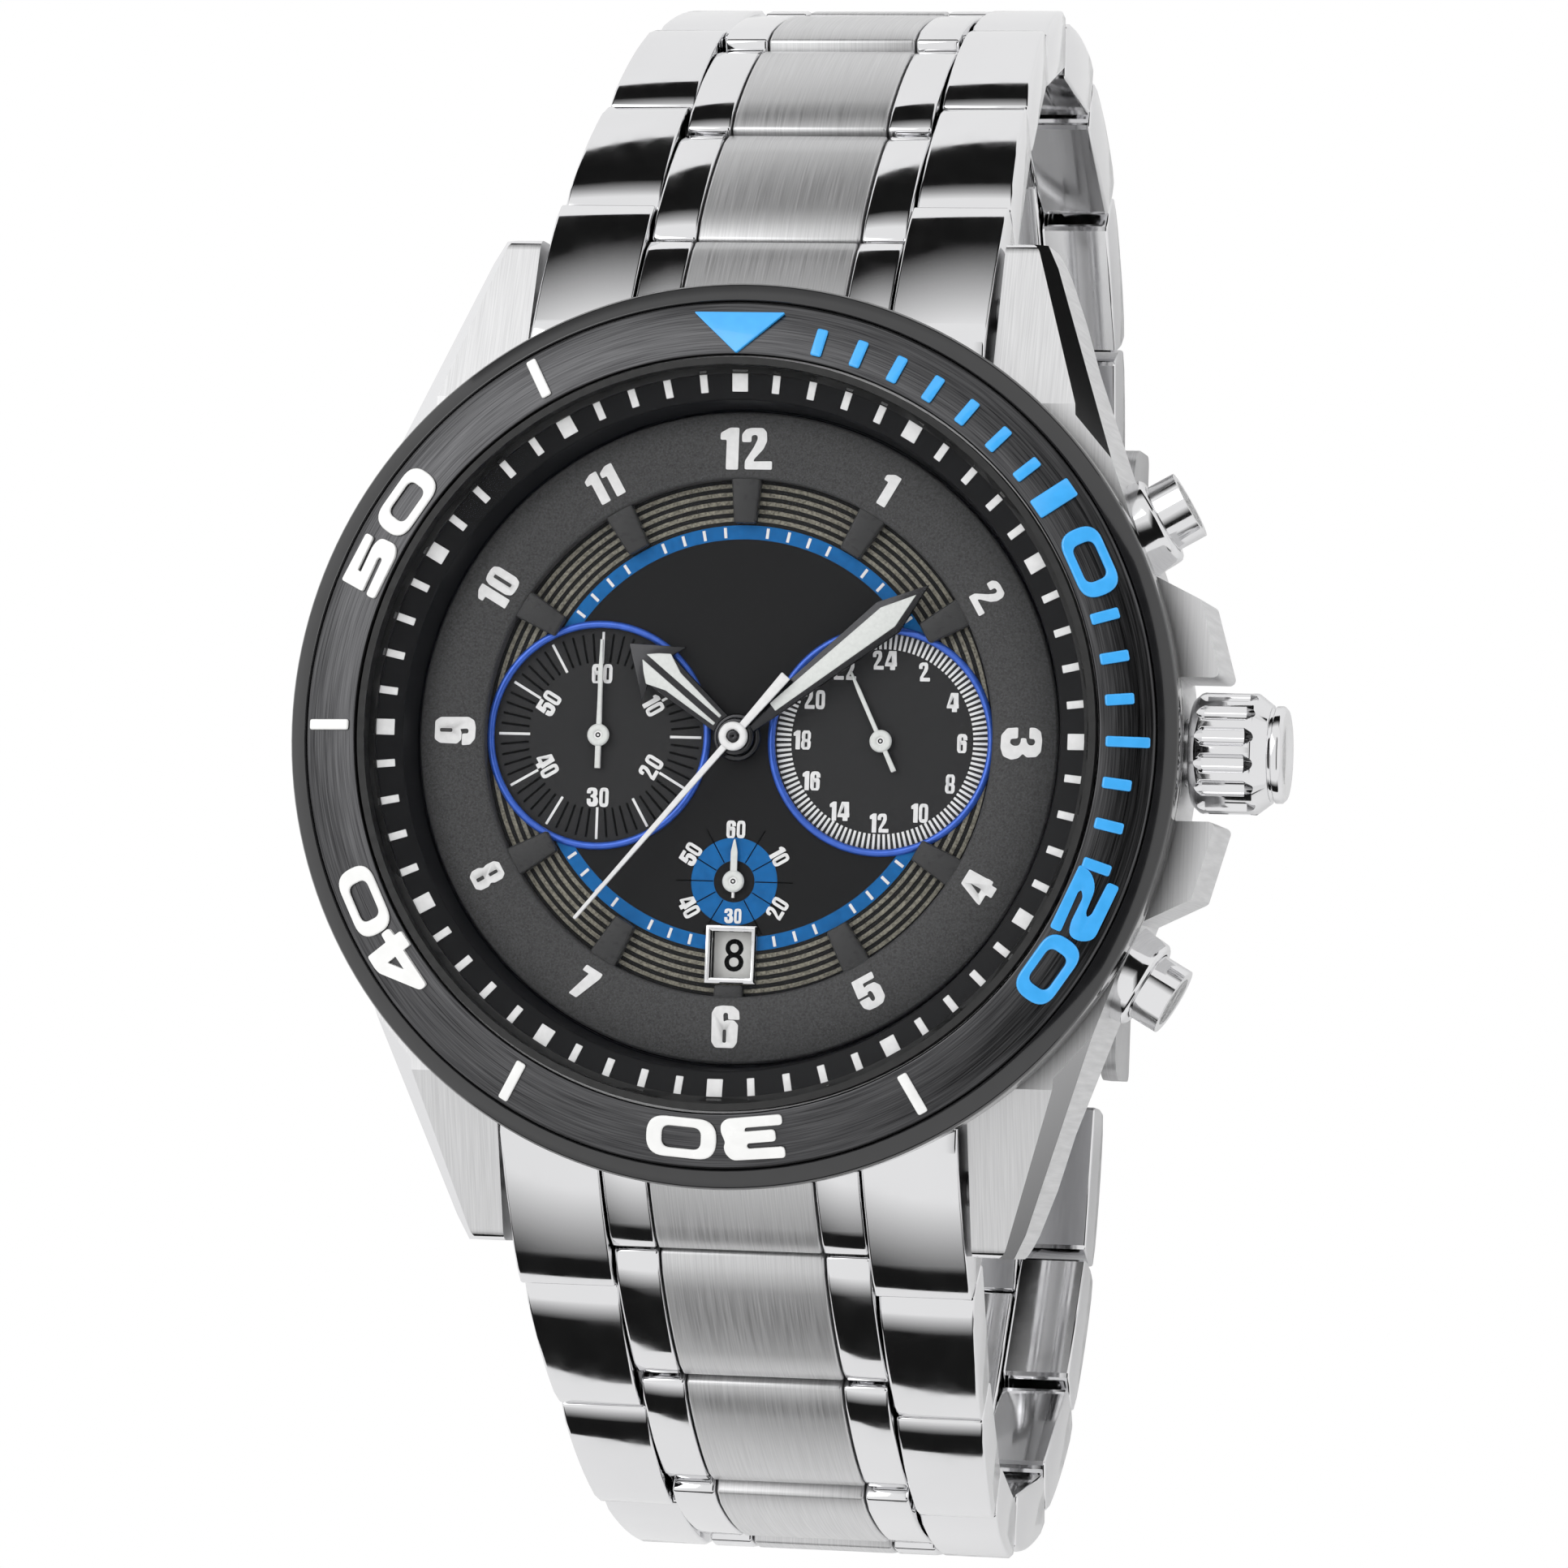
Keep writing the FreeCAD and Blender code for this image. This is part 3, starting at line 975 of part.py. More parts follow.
# --- crown and pushers ----------------------------------------------------------------
def crown_parts():
    end = CROWN_START_X + CROWN_LENGTH
    body = rod_x(CROWN_R, CROWN_START_X, end, 0, CROWN_Z)
    body = body.fuse(rod_x(CROWN_BOSS_R, end, end + CROWN_BOSS, 0, CROWN_Z))
    grooves = []
    for i in range(CROWN_FLUTES):
        angle = 2 * math.pi * (i + 0.5) / CROWN_FLUTES
        grooves.append(rod_x(CROWN_FLUTE_R, CASE_SIDE_R, end + RUN,
                             CROWN_R * math.cos(angle), CROWN_Z + CROWN_R * math.sin(angle)))
    body = body.cut(Part.makeCompound(grooves))
    skirt_end = CROWN_START_X + CROWN_SKIRT
    stem_end = skirt_end + STEM_SOCKET
    body = body.cut(rod_x(TUBE_R + RUN, CASE_SIDE_R, skirt_end, 0, CROWN_Z))
    body = body.cut(rod_x(STEM_R + SEAT, CROWN_START_X, stem_end, 0, CROWN_Z))
    write("crown", body)
    stem = rod_x(STEM_R, STEM_END_X, stem_end, 0, CROWN_Z)
    slider_low = SLIDER_X - SLIDER_SIZE / 2
    slider_high = SLIDER_X + SLIDER_SIZE / 2
    groove = rod_x(2 * STEM_R, slider_low - RUN, slider_high + RUN, 0, CROWN_Z)
    groove = groove.cut(rod_x(STEM_NECK_R, 0, 2 * BEZEL_R, 0, CROWN_Z))
    write("crown_stem", stem.cut(groove))
    slider = box(slider_low, slider_high, -SLIDER_SIZE, SLIDER_SIZE,
                 CROWN_Z - SLIDER_HALF_HEIGHT, CROWN_Z + SLIDER_HALF_HEIGHT)
    write("stem_slider", slider.cut(rod_x(STEM_NECK_R + RUN, 0, BEZEL_R, 0, CROWN_Z)))
    tube = rod_x(TUBE_R, CAVITY_R + TUBE_INSET, skirt_end - TUBE_RECESS, 0, CROWN_Z)
    write("crown_tube", tube.cut(rod_x(STEM_R + RUN, 0, 2 * BEZEL_R, 0, CROWN_Z)))


def pushers():
    shoulder = COLLAR_END - COLLAR_DEPTH
    cap_start = shoulder + PUSHER_TRAVEL + PUSHER_FLOOR
    stem_start = CAVITY_R + PLATE_GAP
    tubes = []
    for node, side in (("pusher_upper", 1), ("pusher_lower", -1)):
        cap = radial(PUSHER_R, cap_start, PUSHER_END, side)
        cap = cap.fuse(radial(PUSHER_STEM_R, stem_start, cap_start, side))
        write(node, cap)
        tube = radial(COLLAR_R, shoulder, COLLAR_END, side)
        tube = tube.fuse(radial(COLLAR_NECK_R, stem_start - COLLAR_WALL, shoulder, side))
        tube = tube.cut(radial(PUSHER_R + RUN, shoulder + COLLAR_WALL, PUSHER_END, side))
        tubes.append(tube.cut(radial(PUSHER_STEM_R + RUN, 0, PUSHER_END, side)))
    write("pusher_tubes", *tubes)


def main():
    make_links()
    make_end_links()
    clasp_cover()
    clasp_buttons()
    inner_blade()
    outer_blade()
    case_body()
    case_back()
    bezel_click_spring()
    chapter_ring()
    crystal_and_gasket()
    bezel()
    dial_plate()
    date_frame()
    dial_hour_ring()
    centre_hands()
    small_hands()
    date_disc()
    movement()
    crown_parts()
    pushers()


os.makedirs("parts", exist_ok=True)
main()
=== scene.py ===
"""Looks of the steel dive chronograph, dressed over its packed assembly."""
import json
import math

import bpy
from mathutils import Euler, Matrix, Vector


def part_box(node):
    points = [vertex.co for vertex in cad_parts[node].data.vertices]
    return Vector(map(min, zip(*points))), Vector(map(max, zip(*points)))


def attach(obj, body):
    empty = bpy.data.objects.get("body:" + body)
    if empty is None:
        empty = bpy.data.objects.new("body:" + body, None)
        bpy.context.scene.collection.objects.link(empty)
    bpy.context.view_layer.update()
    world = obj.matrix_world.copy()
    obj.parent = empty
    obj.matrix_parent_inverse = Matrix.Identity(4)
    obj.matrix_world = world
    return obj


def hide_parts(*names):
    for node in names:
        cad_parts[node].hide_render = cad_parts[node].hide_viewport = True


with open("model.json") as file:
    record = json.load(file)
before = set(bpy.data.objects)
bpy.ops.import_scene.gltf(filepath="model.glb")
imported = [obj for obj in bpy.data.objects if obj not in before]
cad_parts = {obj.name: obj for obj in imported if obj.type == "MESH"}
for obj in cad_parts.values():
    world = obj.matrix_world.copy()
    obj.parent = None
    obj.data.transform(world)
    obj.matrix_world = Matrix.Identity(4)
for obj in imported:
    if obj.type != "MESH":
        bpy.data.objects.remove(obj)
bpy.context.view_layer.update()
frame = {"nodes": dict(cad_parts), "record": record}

MM = 0.001
NODES = frame["nodes"]
JOINTS = {joint["name"]: joint for joint in frame["record"]["behaviour"]["joints"]}

# --- levels and sizes read from the assembly ---
INSERT_LOW, INSERT_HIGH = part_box("bezel_insert")
RING_LOW, RING_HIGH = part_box("bezel_ring")
INSERT_R = INSERT_HIGH[0]
INSERT_INNER_R = 18.75 * MM
INSERT_THICKNESS = 0.4 * MM
INSERT_TOP = INSERT_HIGH[2]
INSERT_EDGE = INSERT_LOW[2] + INSERT_THICKNESS
INSERT_SLOPE = (INSERT_TOP - INSERT_EDGE) / (INSERT_R - INSERT_INNER_R)
RIM_R = RING_HIGH[0]
RIM_Z = INSERT_EDGE - 0.55 * MM
DIAL_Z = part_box("dial_plate")[1][2]
HOUR_RING_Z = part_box("dial_hour_ring")[1][2]
CHAPTER_LOW, CHAPTER_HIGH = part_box("chapter_ring")
CROWN_LOW, CROWN_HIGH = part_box("crown")
DATE_LOW, DATE_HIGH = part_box("date_frame")
CROWN_Z = (CROWN_LOW[2] + CROWN_HIGH[2]) / 2
PRINT = 0.02 * MM            # height of printed marks over the dial
SUBDIAL_X = 7.2 * MM
SUBDIAL_R = 5.7 * MM
SUBDIAL_FLOOR = DIAL_Z - 0.25 * MM
SMALL_SECONDS_Y = -7.15 * MM


# --- modelling helpers ---
def deselect():
    bpy.ops.object.select_all(action="DESELECT")


def set_material(piece, material):
    piece.data.materials.clear()
    piece.data.materials.append(material)


def finish_mesh(name, material, bevel=0.0, segments=2, angle=30.0, smooth=30.0):
    """Leaves edit mode, bevels the sharp edges, shades and names the active piece."""
    if bpy.context.object.mode == "EDIT":
        bpy.ops.object.mode_set(mode="OBJECT")
    piece = bpy.context.object
    if bevel:
        modifier = piece.modifiers.new("Bevel", "BEVEL")
        modifier.width = bevel
        modifier.segments = segments
        modifier.limit_method = "ANGLE"
        modifier.angle_limit = math.radians(angle)
        modifier.use_clamp_overlap = True
        bpy.ops.object.modifier_apply(modifier=modifier.name)
    bpy.ops.object.shade_smooth_by_angle(angle=math.radians(smooth))
    piece.name = name
    set_material(piece, material)
    return piece


def outline(points):
    """Active piece in edit mode: one face through the given corners."""
    deselect()
    bpy.ops.mesh.primitive_plane_add(size=MM)
    bpy.ops.object.mode_set(mode="EDIT")
    bpy.ops.mesh.merge(type="CENTER")
    corners = [Vector(p) for p in points]
    bpy.ops.transform.translate(value=corners[0])
    for a, b in zip(corners, corners[1:]):
        bpy.ops.mesh.extrude_region_move(TRANSFORM_OT_translate={"value": b - a})
    bpy.ops.mesh.select_all(action="SELECT")
    bpy.ops.mesh.edge_face_add()


def extrude(vector):
    bpy.ops.mesh.select_all(action="SELECT")
    bpy.ops.mesh.extrude_region_move(TRANSFORM_OT_translate={"value": Vector(vector)})
    bpy.ops.mesh.select_all(action="SELECT")
    bpy.ops.mesh.normals_make_consistent(inside=False)


def spun(points, steps, center=(0, 0, 0), axis=(0, 0, 1)):
    """Active piece in edit mode: a section turned once about an axis."""
    outline(points)
    bpy.ops.mesh.delete(type="ONLY_FACE")
    bpy.ops.mesh.select_all(action="SELECT")
    bpy.ops.mesh.spin(steps=steps, angle=2 * math.pi, center=center, axis=axis, use_auto_merge=False)
    bpy.ops.mesh.select_all(action="SELECT")
    bpy.ops.mesh.remove_doubles(threshold=1e-7)
    bpy.ops.mesh.normals_make_consistent(inside=False)


def place(piece, matrix):
    """Puts a finished piece's place in its mesh."""
    deselect()
    piece.matrix_world = matrix @ piece.matrix_world
    piece.select_set(True)
    bpy.context.view_layer.objects.active = piece
    bpy.ops.object.transform_apply(location=True, rotation=True, scale=True)
    return piece


def twin(piece, name, matrix):
    """Copy with its own mesh, moved by a matrix."""
    copy = piece.copy()
    copy.data = piece.data.copy()
    copy.name = name
    bpy.context.scene.collection.objects.link(copy)
    place(copy, matrix)
    if matrix.determinant() < 0:
        bpy.ops.object.mode_set(mode="EDIT")
        bpy.ops.mesh.select_all(action="SELECT")
        bpy.ops.mesh.normals_make_consistent(inside=False)
        bpy.ops.object.mode_set(mode="OBJECT")
    return copy


def joined(pieces, name):
    deselect()
    for piece in pieces:
        piece.select_set(True)
    bpy.context.view_layer.objects.active = pieces[0]
    if len(pieces) > 1:
        bpy.ops.object.join()
    piece = bpy.context.object
    piece.name = name
    return piece


def clockwise(angle):
    """Turn about the dial's axis, clockwise seen from above, in degrees."""
    return Matrix.Rotation(-math.radians(angle), 4, "Z")


def rounded_bar(width, length, height, material, name, corner):
    """Rounded upright bar centred on the origin, its length along Y."""
    deselect()
    bpy.ops.mesh.primitive_cube_add(size=1)
    piece = bpy.context.object
    piece.dimensions = (width, length, height)
    bpy.ops.object.transform_apply(location=False, rotation=False, scale=True)
    return finish_mesh(name, material, bevel=corner, segments=2)


# --- materials ---
NOISE_SPAN = (0.3, 0.7)         # where a noise value mostly lies
COAT_ROUGHNESS = 0.05
BEVEL_SLOPES = (0.25, 0.74)     # upward part of a normal on the case's polished bevels


def set_inputs(tree, made, inputs):
    """Gives each named input a value or another node's output."""
    for name, value in inputs.items():
        if isinstance(value, bpy.types.NodeSocket):
            tree.links.new(value, made.inputs[name])
        else:
            made.inputs[name].default_value = value


def add_node(tree, kind, inputs, **settings):
    """New shader node with its settings and inputs."""
    made = tree.nodes.new("ShaderNode" + kind)
    for name, value in settings.items():
        setattr(made, name, value)
    set_inputs(tree, made, inputs)
    return made


def new_material(name):
    material = bpy.data.materials.new(name)
    material.use_nodes = True
    return material, material.node_tree, material.node_tree.nodes["Principled BSDF"]


def set_surface(tree, shader, colour, metallic=0.0, roughness=0.5, specular=0.5, coat=0.0):
    set_inputs(tree, shader, {
        "Base Color": tuple(colour) + (1.0,), "Metallic": metallic, "Roughness": roughness,
        "Specular IOR Level": specular, "Coat Weight": coat, "Coat Roughness": COAT_ROUGHNESS})


def object_place(tree):
    return add_node(tree, "TexCoord", {}).outputs["Object"]


def grain_over(tree, vector, scale, detail=3.0):
    """Noise over coordinates stretched by a scale for each axis."""
    stretched = add_node(tree, "Mapping", {"Vector": vector, "Scale": scale}).outputs["Vector"]
    return add_node(tree, "TexNoise", {"Vector": stretched, "Scale": 1.0, "Detail": detail}).outputs["Fac"]


def spread(tree, value, low, high):
    """Maps a noise value onto low to high."""
    start, end = NOISE_SPAN
    inputs = {"Value": value, "From Min": start, "From Max": end, "To Min": low, "To Max": high}
    return add_node(tree, "MapRange", inputs).outputs["Result"]


def bump(tree, shader, value, strength, distance):
    raised = add_node(tree, "Bump", {"Height": value, "Strength": strength, "Distance": distance})
    set_inputs(tree, shader, {"Normal": raised.outputs["Normal"]})


def two_tones(tree, shader, value, dark, light):
    ramp = add_node(tree, "ValToRGB", {"Fac": value})
    for element, position, colour in zip(ramp.color_ramp.elements, NOISE_SPAN, (dark, light)):
        element.position = position
        element.color = tuple(colour) + (1.0,)
    set_inputs(tree, shader, {"Base Color": ramp.outputs["Color"]})


def mixed_surface(tree, factor, first, second):
    """Ends a material in a mix of two shaders."""
    mix = add_node(tree, "MixShader", {"Fac": factor, 1: first, 2: second})
    set_inputs(tree, tree.nodes["Material Output"], {"Surface": mix.outputs["Shader"]})


def brushed_steel(name, scale, dark, light, low_rough, high_rough):
    material, tree, shader = new_material(name)
    set_surface(tree, shader, light, metallic=1.0)
    grain = grain_over(tree, object_place(tree), scale)
    two_tones(tree, shader, grain, dark, light)
    set_inputs(tree, shader, {"Roughness": spread(tree, grain, low_rough, high_rough)})
    bump(tree, shader, grain, 0.25, 0.01 * MM)
    return material


def polished_steel(name, colour, roughness=0.05):
    material, tree, shader = new_material(name)
    set_surface(tree, shader, colour, metallic=1.0)
    wear = grain_over(tree, object_place(tree), (900, 700, 800), 5.0)
    set_inputs(tree, shader, {"Roughness": spread(tree, wear, roughness, roughness * 2.2)})
    cloud = grain_over(tree, object_place(tree), (90, 70, 80))
    two_tones(tree, shader, cloud, [c * 0.96 for c in colour], colour)
    return material


def lacquer(name, colour, roughness, specular=0.5, coat=0.0, grain=2500, depth=0.0, metallic=0.0,
            contrast=0.12):
    """Painted, printed or moulded finish with a fine grain."""
    material, tree, shader = new_material(name)
    set_surface(tree, shader, colour, metallic=metallic, specular=specular, coat=coat)
    speckle = grain_over(tree, object_place(tree), (grain, grain, grain), 2.0)
    dark, light = [[c * share for c in colour] for share in (1 - contrast, 1 + contrast)]
    two_tones(tree, shader, speckle, dark, light)
    set_inputs(tree, shader, {"Roughness": spread(tree, speckle, roughness * 0.85, roughness * 1.15)})
    if depth:
        bump(tree, shader, speckle, 0.5, depth)
    return material


def turned_metal(name, dark, light, roughness):
    """Circular brushing about the dial's axis."""
    material, tree, shader = new_material(name)
    set_surface(tree, shader, light, metallic=1.0)
    split = add_node(tree, "SeparateXYZ", {"Vector": object_place(tree)})
    x, y = split.outputs["X"], split.outputs["Y"]
    flat = add_node(tree, "CombineXYZ", {"X": x, "Y": y})
    radius = add_node(tree, "VectorMath", {0: flat.outputs["Vector"]}, operation="LENGTH")
    rings = add_node(tree, "CombineXYZ", {"X": radius.outputs["Value"], "Y": x, "Z": y})
    grain = grain_over(tree, rings.outputs["Vector"], (16000, 260, 260))
    two_tones(tree, shader, grain, dark, light)
    set_inputs(tree, shader, {"Roughness": spread(tree, grain, roughness * 0.8, roughness * 1.3)})
    bump(tree, shader, grain, 0.2, 0.008 * MM)
    return material


def clear_crystal():
    material, tree, shader = new_material("crystal_clear")
    set_surface(tree, shader, (0.05, 0.055, 0.07), roughness=0.02, specular=0.12)
    haze = grain_over(tree, object_place(tree), (60, 60, 60))
    set_inputs(tree, shader, {"Roughness": spread(tree, haze, 0.015, 0.03), "Alpha": 0.02})
    return material


def case_steel():
    """Brushed tops and sides with polished bevels between them."""
    material = brushed_steel("case_brushed_and_polished", *LENGTHWISE_BRUSHED)
    tree = material.node_tree
    brushed = tree.nodes["Principled BSDF"]
    polished = add_node(tree, "BsdfPrincipled", {})
    set_surface(tree, polished, (0.8, 0.8, 0.81), metallic=1.0, roughness=0.06)
    normal = add_node(tree, "NewGeometry", {}).outputs["True Normal"]
    upward = add_node(tree, "SeparateXYZ", {"Vector": normal}).outputs["Z"]
    low, high = BEVEL_SLOPES
    above = add_node(tree, "Math", {0: upward, 1: low}, operation="GREATER_THAN").outputs["Value"]
    below = add_node(tree, "Math", {0: upward, 1: high}, operation="LESS_THAN").outputs["Value"]
    both = add_node(tree, "Math", {0: above, 1: below}, operation="MULTIPLY").outputs["Value"]
    mixed_surface(tree, both, brushed.outputs["BSDF"], polished.outputs["BSDF"])
    return material


# Grain scale, darkest and lightest tone, lowest and highest roughness.
LENGTHWISE_BRUSHED = ((14000, 260, 260), (0.62, 0.62, 0.625), (0.76, 0.76, 0.765), 0.38, 0.46)
SATIN = ((700, 700, 700), (0.42, 0.42, 0.43), (0.5, 0.5, 0.51), 0.35, 0.5)
steel_brushed = brushed_steel("steel_lengthwise_brushed", *LENGTHWISE_BRUSHED)
steel_polished = polished_steel("steel_polished", (0.80, 0.80, 0.81))
steel_inside = brushed_steel("steel_satin_inside", *SATIN)
black_rim = lacquer("bezel_gloss_black", (0.012, 0.012, 0.013), 0.12, coat=0.6, grain=900)
black_insert = turned_metal("insert_circular_brushed", (0.042, 0.042, 0.044), (0.125, 0.125, 0.129), 0.32)
blue_enamel = lacquer("enamel_blue", (0.05, 0.42, 0.93), 0.22, coat=0.5, grain=1500, contrast=0.05)
white_enamel = lacquer("enamel_white", (0.88, 0.88, 0.87), 0.25, coat=0.4, grain=1500, contrast=0.03)
chapter_black = lacquer("chapter_satin_black", (0.010, 0.010, 0.0105), 0.38, specular=0.1, grain=1800)
dial_black = lacquer("dial_matt_black", (0.017, 0.017, 0.0172), 0.6, specular=0.08, grain=7000,
                     depth=0.001 * MM)
subdial_grey = lacquer("subdial_face", (0.034, 0.034, 0.0345), 0.5, specular=0.08, grain=7000,
                       depth=0.001 * MM)
ring_grained = lacquer("hour_ring_grained", (0.062, 0.062, 0.0625), 0.45, specular=0.15, grain=11000,
                       depth=0.008 * MM, contrast=0.3)
block_grey = lacquer("hour_block_satin", (0.05, 0.05, 0.0505), 0.3, specular=0.15, grain=3000, contrast=0.05)
print_white = lacquer("print_light_grey", (0.82, 0.82, 0.82), 0.45, specular=0.2, grain=3000, contrast=0.05)
print_blue = lacquer("print_blue", (0.010, 0.128, 0.37), 0.4, specular=0.1, grain=3000)
print_dark = lacquer("print_black", (0.004, 0.004, 0.004), 0.5, specular=0.05, grain=3000)
stripe_beige = lacquer("stripe_speckled", (0.20, 0.19, 0.155), 0.6, specular=0.1, grain=9000, contrast=0.5)
rim_blue = lacquer("subdial_rim_blue", (0.04, 0.13, 0.60), 0.2, coat=0.3, metallic=0.4)
hand_dark = lacquer("hand_gunmetal", (0.05, 0.05, 0.052), 0.22, metallic=1.0, contrast=0.05)
hand_lume = lacquer("hand_lume", (0.72, 0.74, 0.72), 0.55, grain=6000, contrast=0.05)
seal_black = lacquer("seal_rubber", (0.012, 0.012, 0.012), 0.6, grain=2500)
date_paper = lacquer("date_paper", (0.72, 0.72, 0.7), 0.5, grain=4000, contrast=0.03)
crystal_clear = clear_crystal()
case_finish = case_steel()
brass_plate = lacquer("movement_gilt", (0.6, 0.45, 0.2), 0.35, metallic=1.0)
copper_wire = lacquer("coil_copper", (0.6, 0.25, 0.1), 0.35, metallic=1.0)
board_green = lacquer("board_green", (0.02, 0.12, 0.05), 0.5)


def dress_nodes():
    """Materials for the assembly's own solids that stay in view."""
    dress = {
        case_finish: ["case_body"],
        steel_inside: ["case_back", "lug_spring_bars", "stem_slider", "crown_stem", "bezel_click_spring",
                       "bezel_retaining_wire"],
        steel_brushed: ["clasp_inner_blade", "clasp_outer_blade", "clasp_cover"],
        steel_polished: ["crown", "pusher_upper", "pusher_lower", "pusher_tubes", "crown_tube", "date_frame",
                         "clasp_button_left", "clasp_button_right", "bridge_screws", "battery_cell"],
        seal_black: ["crystal_gasket", "case_back_gasket"],
        dial_black: ["dial_plate"],
        ring_grained: ["dial_hour_ring"],
        rim_blue: ["subdial_rims"],
        crystal_clear: ["crystal"],
        brass_plate: ["movement_plate", "movement_bridge", "hour_wheel", "minute_wheel", "chrono_wheel"],
        copper_wire: ["motor_coils"],
        board_green: ["circuit_board"],
        date_paper: ["date_disc"],
        hand_dark: ["hour_hand", "minute_hand"],
        print_white: ["chrono_seconds_hand", "small_seconds_hand", "minute_counter_hand", "day_hour_hand"],
    }
    for material, names in dress.items():
        for name in names:
            set_material(NODES[name], material)


# --- bezel ---
TURN_STEPS = 180
BEZEL_BORE_R = 19.5 * MM


def from_corner(r, z, offsets):
    """Corners of a turned profile, from offsets in mm."""
    return [(r + across * MM, z + up * MM) for across, up in offsets]


def make_bezel():
    low = RING_LOW[2]
    bore = BEZEL_BORE_R
    underside = INSERT_EDGE - INSERT_THICKNESS
    section = [(bore, low)]
    section += from_corner(RIM_R, low, [(-0.5, 0), (-0.1, 0.25), (-0.1, 0.75), (-0.35, 0.85), (-0.35, 1.05),
                                        (-0.02, 1.2)])
    section += from_corner(RIM_R, RIM_Z, [(0, -0.3), (-0.1, -0.08), (-0.35, 0.06)])
    section += from_corner(INSERT_R, INSERT_EDGE, [(0.12, -0.08), (0.02, -0.2)])
    section += [(INSERT_R + 0.02 * MM, underside),
                (bore, underside + (INSERT_R - bore) * INSERT_SLOPE - 0.05 * MM)]
    spun([(r, 0, z) for r, z in section], TURN_STEPS)
    ring = finish_mesh("bezel_ring_turned", black_rim, bevel=0.06 * MM, segments=2, angle=20)
    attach(ring, "bezel")
    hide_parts("bezel_ring")
    edge = 0.1 * MM
    inner = INSERT_INNER_R
    section = [(INSERT_R, underside), (INSERT_R, INSERT_EDGE - edge),
               (INSERT_R - edge, INSERT_EDGE + edge * INSERT_SLOPE),
               (inner + edge, INSERT_TOP - edge * INSERT_SLOPE), (inner, INSERT_TOP - edge),
               (inner, INSERT_TOP - INSERT_THICKNESS)]
    spun([(r, 0, z) for r, z in section], TURN_STEPS)
    insert = finish_mesh("bezel_insert_turned", black_insert, bevel=0.03 * MM, segments=1, angle=20)
    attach(insert, "bezel")
    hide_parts("bezel_insert")


MARK_R = 20.0 * MM
ENAMEL = 0.2 * MM


def on_insert(angle, radius=MARK_R):
    """Frame on the insert's cone: Y points outwards along the slope, Z out of it."""
    height = INSERT_TOP - (radius - INSERT_INNER_R) * INSERT_SLOPE
    tilt = Matrix.Rotation(-math.atan(INSERT_SLOPE), 4, "X")
    return clockwise(angle) @ Matrix.Translation((0, radius, height)) @ tilt


def rounded_corners(corners, steps=4):
    """Closed outline with each corner (x, y, radius) rounded."""
    path = []
    count = len(corners)
    for i, (x, y, radius) in enumerate(corners):
        here = Vector((x, y, 0))
        before = Vector(corners[i - 1][:2] + (0,)) - here
        after = Vector(corners[(i + 1) % count][:2] + (0,)) - here
        reach = min(radius, before.length * 0.49, after.length * 0.49)
        start = here + before.normalized() * reach
        end = here + after.normalized() * reach
        for j in range(steps + 1):
            t = j / steps
            path.append(start * (1 - t) ** 2 + here * 2 * t * (1 - t) + end * t ** 2)
    return path


# Outlines of the bezel's wide digits in mm, from each digit's middle: x along the rim, y outwards.
DIGITS = {
    "1": [(-0.52, 1.1, 0.12), (0.52, 1.1, 0.12), (0.52, -1.1, 0.12), (-0.52, -1.1, 0.12)],
    "2": [(-1.5, 1.13, 0.15), (1.37, 1.1, 0.45), (1.73, 0.53, 0.35), (1.7, -0.1, 0.4), (1.1, -0.3, 0.35),
          (-0.3, -0.27, 0.25), (-0.6, -0.5, 0.1), (-0.43, -0.6, 0.07), (1.7, -0.55, 0.15), (1.7, -1.13, 0.15),
          (-1.7, -1.1, 0.17), (-1.6, -0.43, 0.35), (-1.0, 0.1, 0.4), (0.3, 0.17, 0.17), (0.5, 0.32, 0.08),
          (0.27, 0.47, 0.13), (-1.5, 0.53, 0.2)],
    "3": [(-1.5, 1.1, 0.2), (1.2, 1.03, 0.4), (1.5, 0.63, 0.25), (1.53, 0.3, 0.17), (1.43, 0.1, 0.1),
          (1.47, -0.1, 0.1), (1.58, -0.45, 0.2), (1.53, -0.87, 0.25), (1.2, -1.1, 0.3), (-1.55, -1.1, 0.2),
          (-1.55, -0.57, 0.2), (0.33, -0.57, 0.1), (0.4, -0.37, 0.1), (-1.13, -0.37, 0.2), (-1.13, 0.23, 0.2),
          (0.3, 0.23, 0.1), (0.37, 0.37, 0.05), (0.3, 0.5, 0.1), (-1.5, 0.53, 0.2)],
    "4": [(0.25, 1.12, 0.2), (0.6, 1.17, 0.07), (1.26, 1.15, 0.13), (1.26, -0.13, 0.05), (1.74, -0.17, 0.13),
          (1.74, -0.7, 0.17), (1.27, -0.73, 0.05), (1.26, -1.17, 0.13), (0.4, -1.17, 0.13), (0.4, -0.7, 0.05),
          (-1.7, -0.7, 0.17), (-1.74, -0.28, 0.2)],
    "5": [(-1.3, 1.13, 0.13), (1.36, 0.98, 0.17), (1.33, 0.51, 0.17), (-0.5, 0.53, 0.05), (-0.52, 0.31, 0.05),
          (0.97, 0.31, 0.47), (1.46, 0.08, 0.37), (1.46, -0.85, 0.42), (0.97, -1.12, 0.33),
          (-1.46, -1.05, 0.2), (-1.46, -0.52, 0.2), (0.46, -0.52, 0.1), (0.56, -0.38, 0.07),
          (0.46, -0.24, 0.1), (-1.37, -0.25, 0.13)],
}
FOUR_HOLE = [(-0.4, -0.15, 0.07), (0.4, -0.15, 0.05), (0.4, 0.42, 0.07)]
ZERO = (3.55, 2.05, 0.95)       # width, height and corner
ZERO_HOLE = (1.98, 1.12, 0.42)


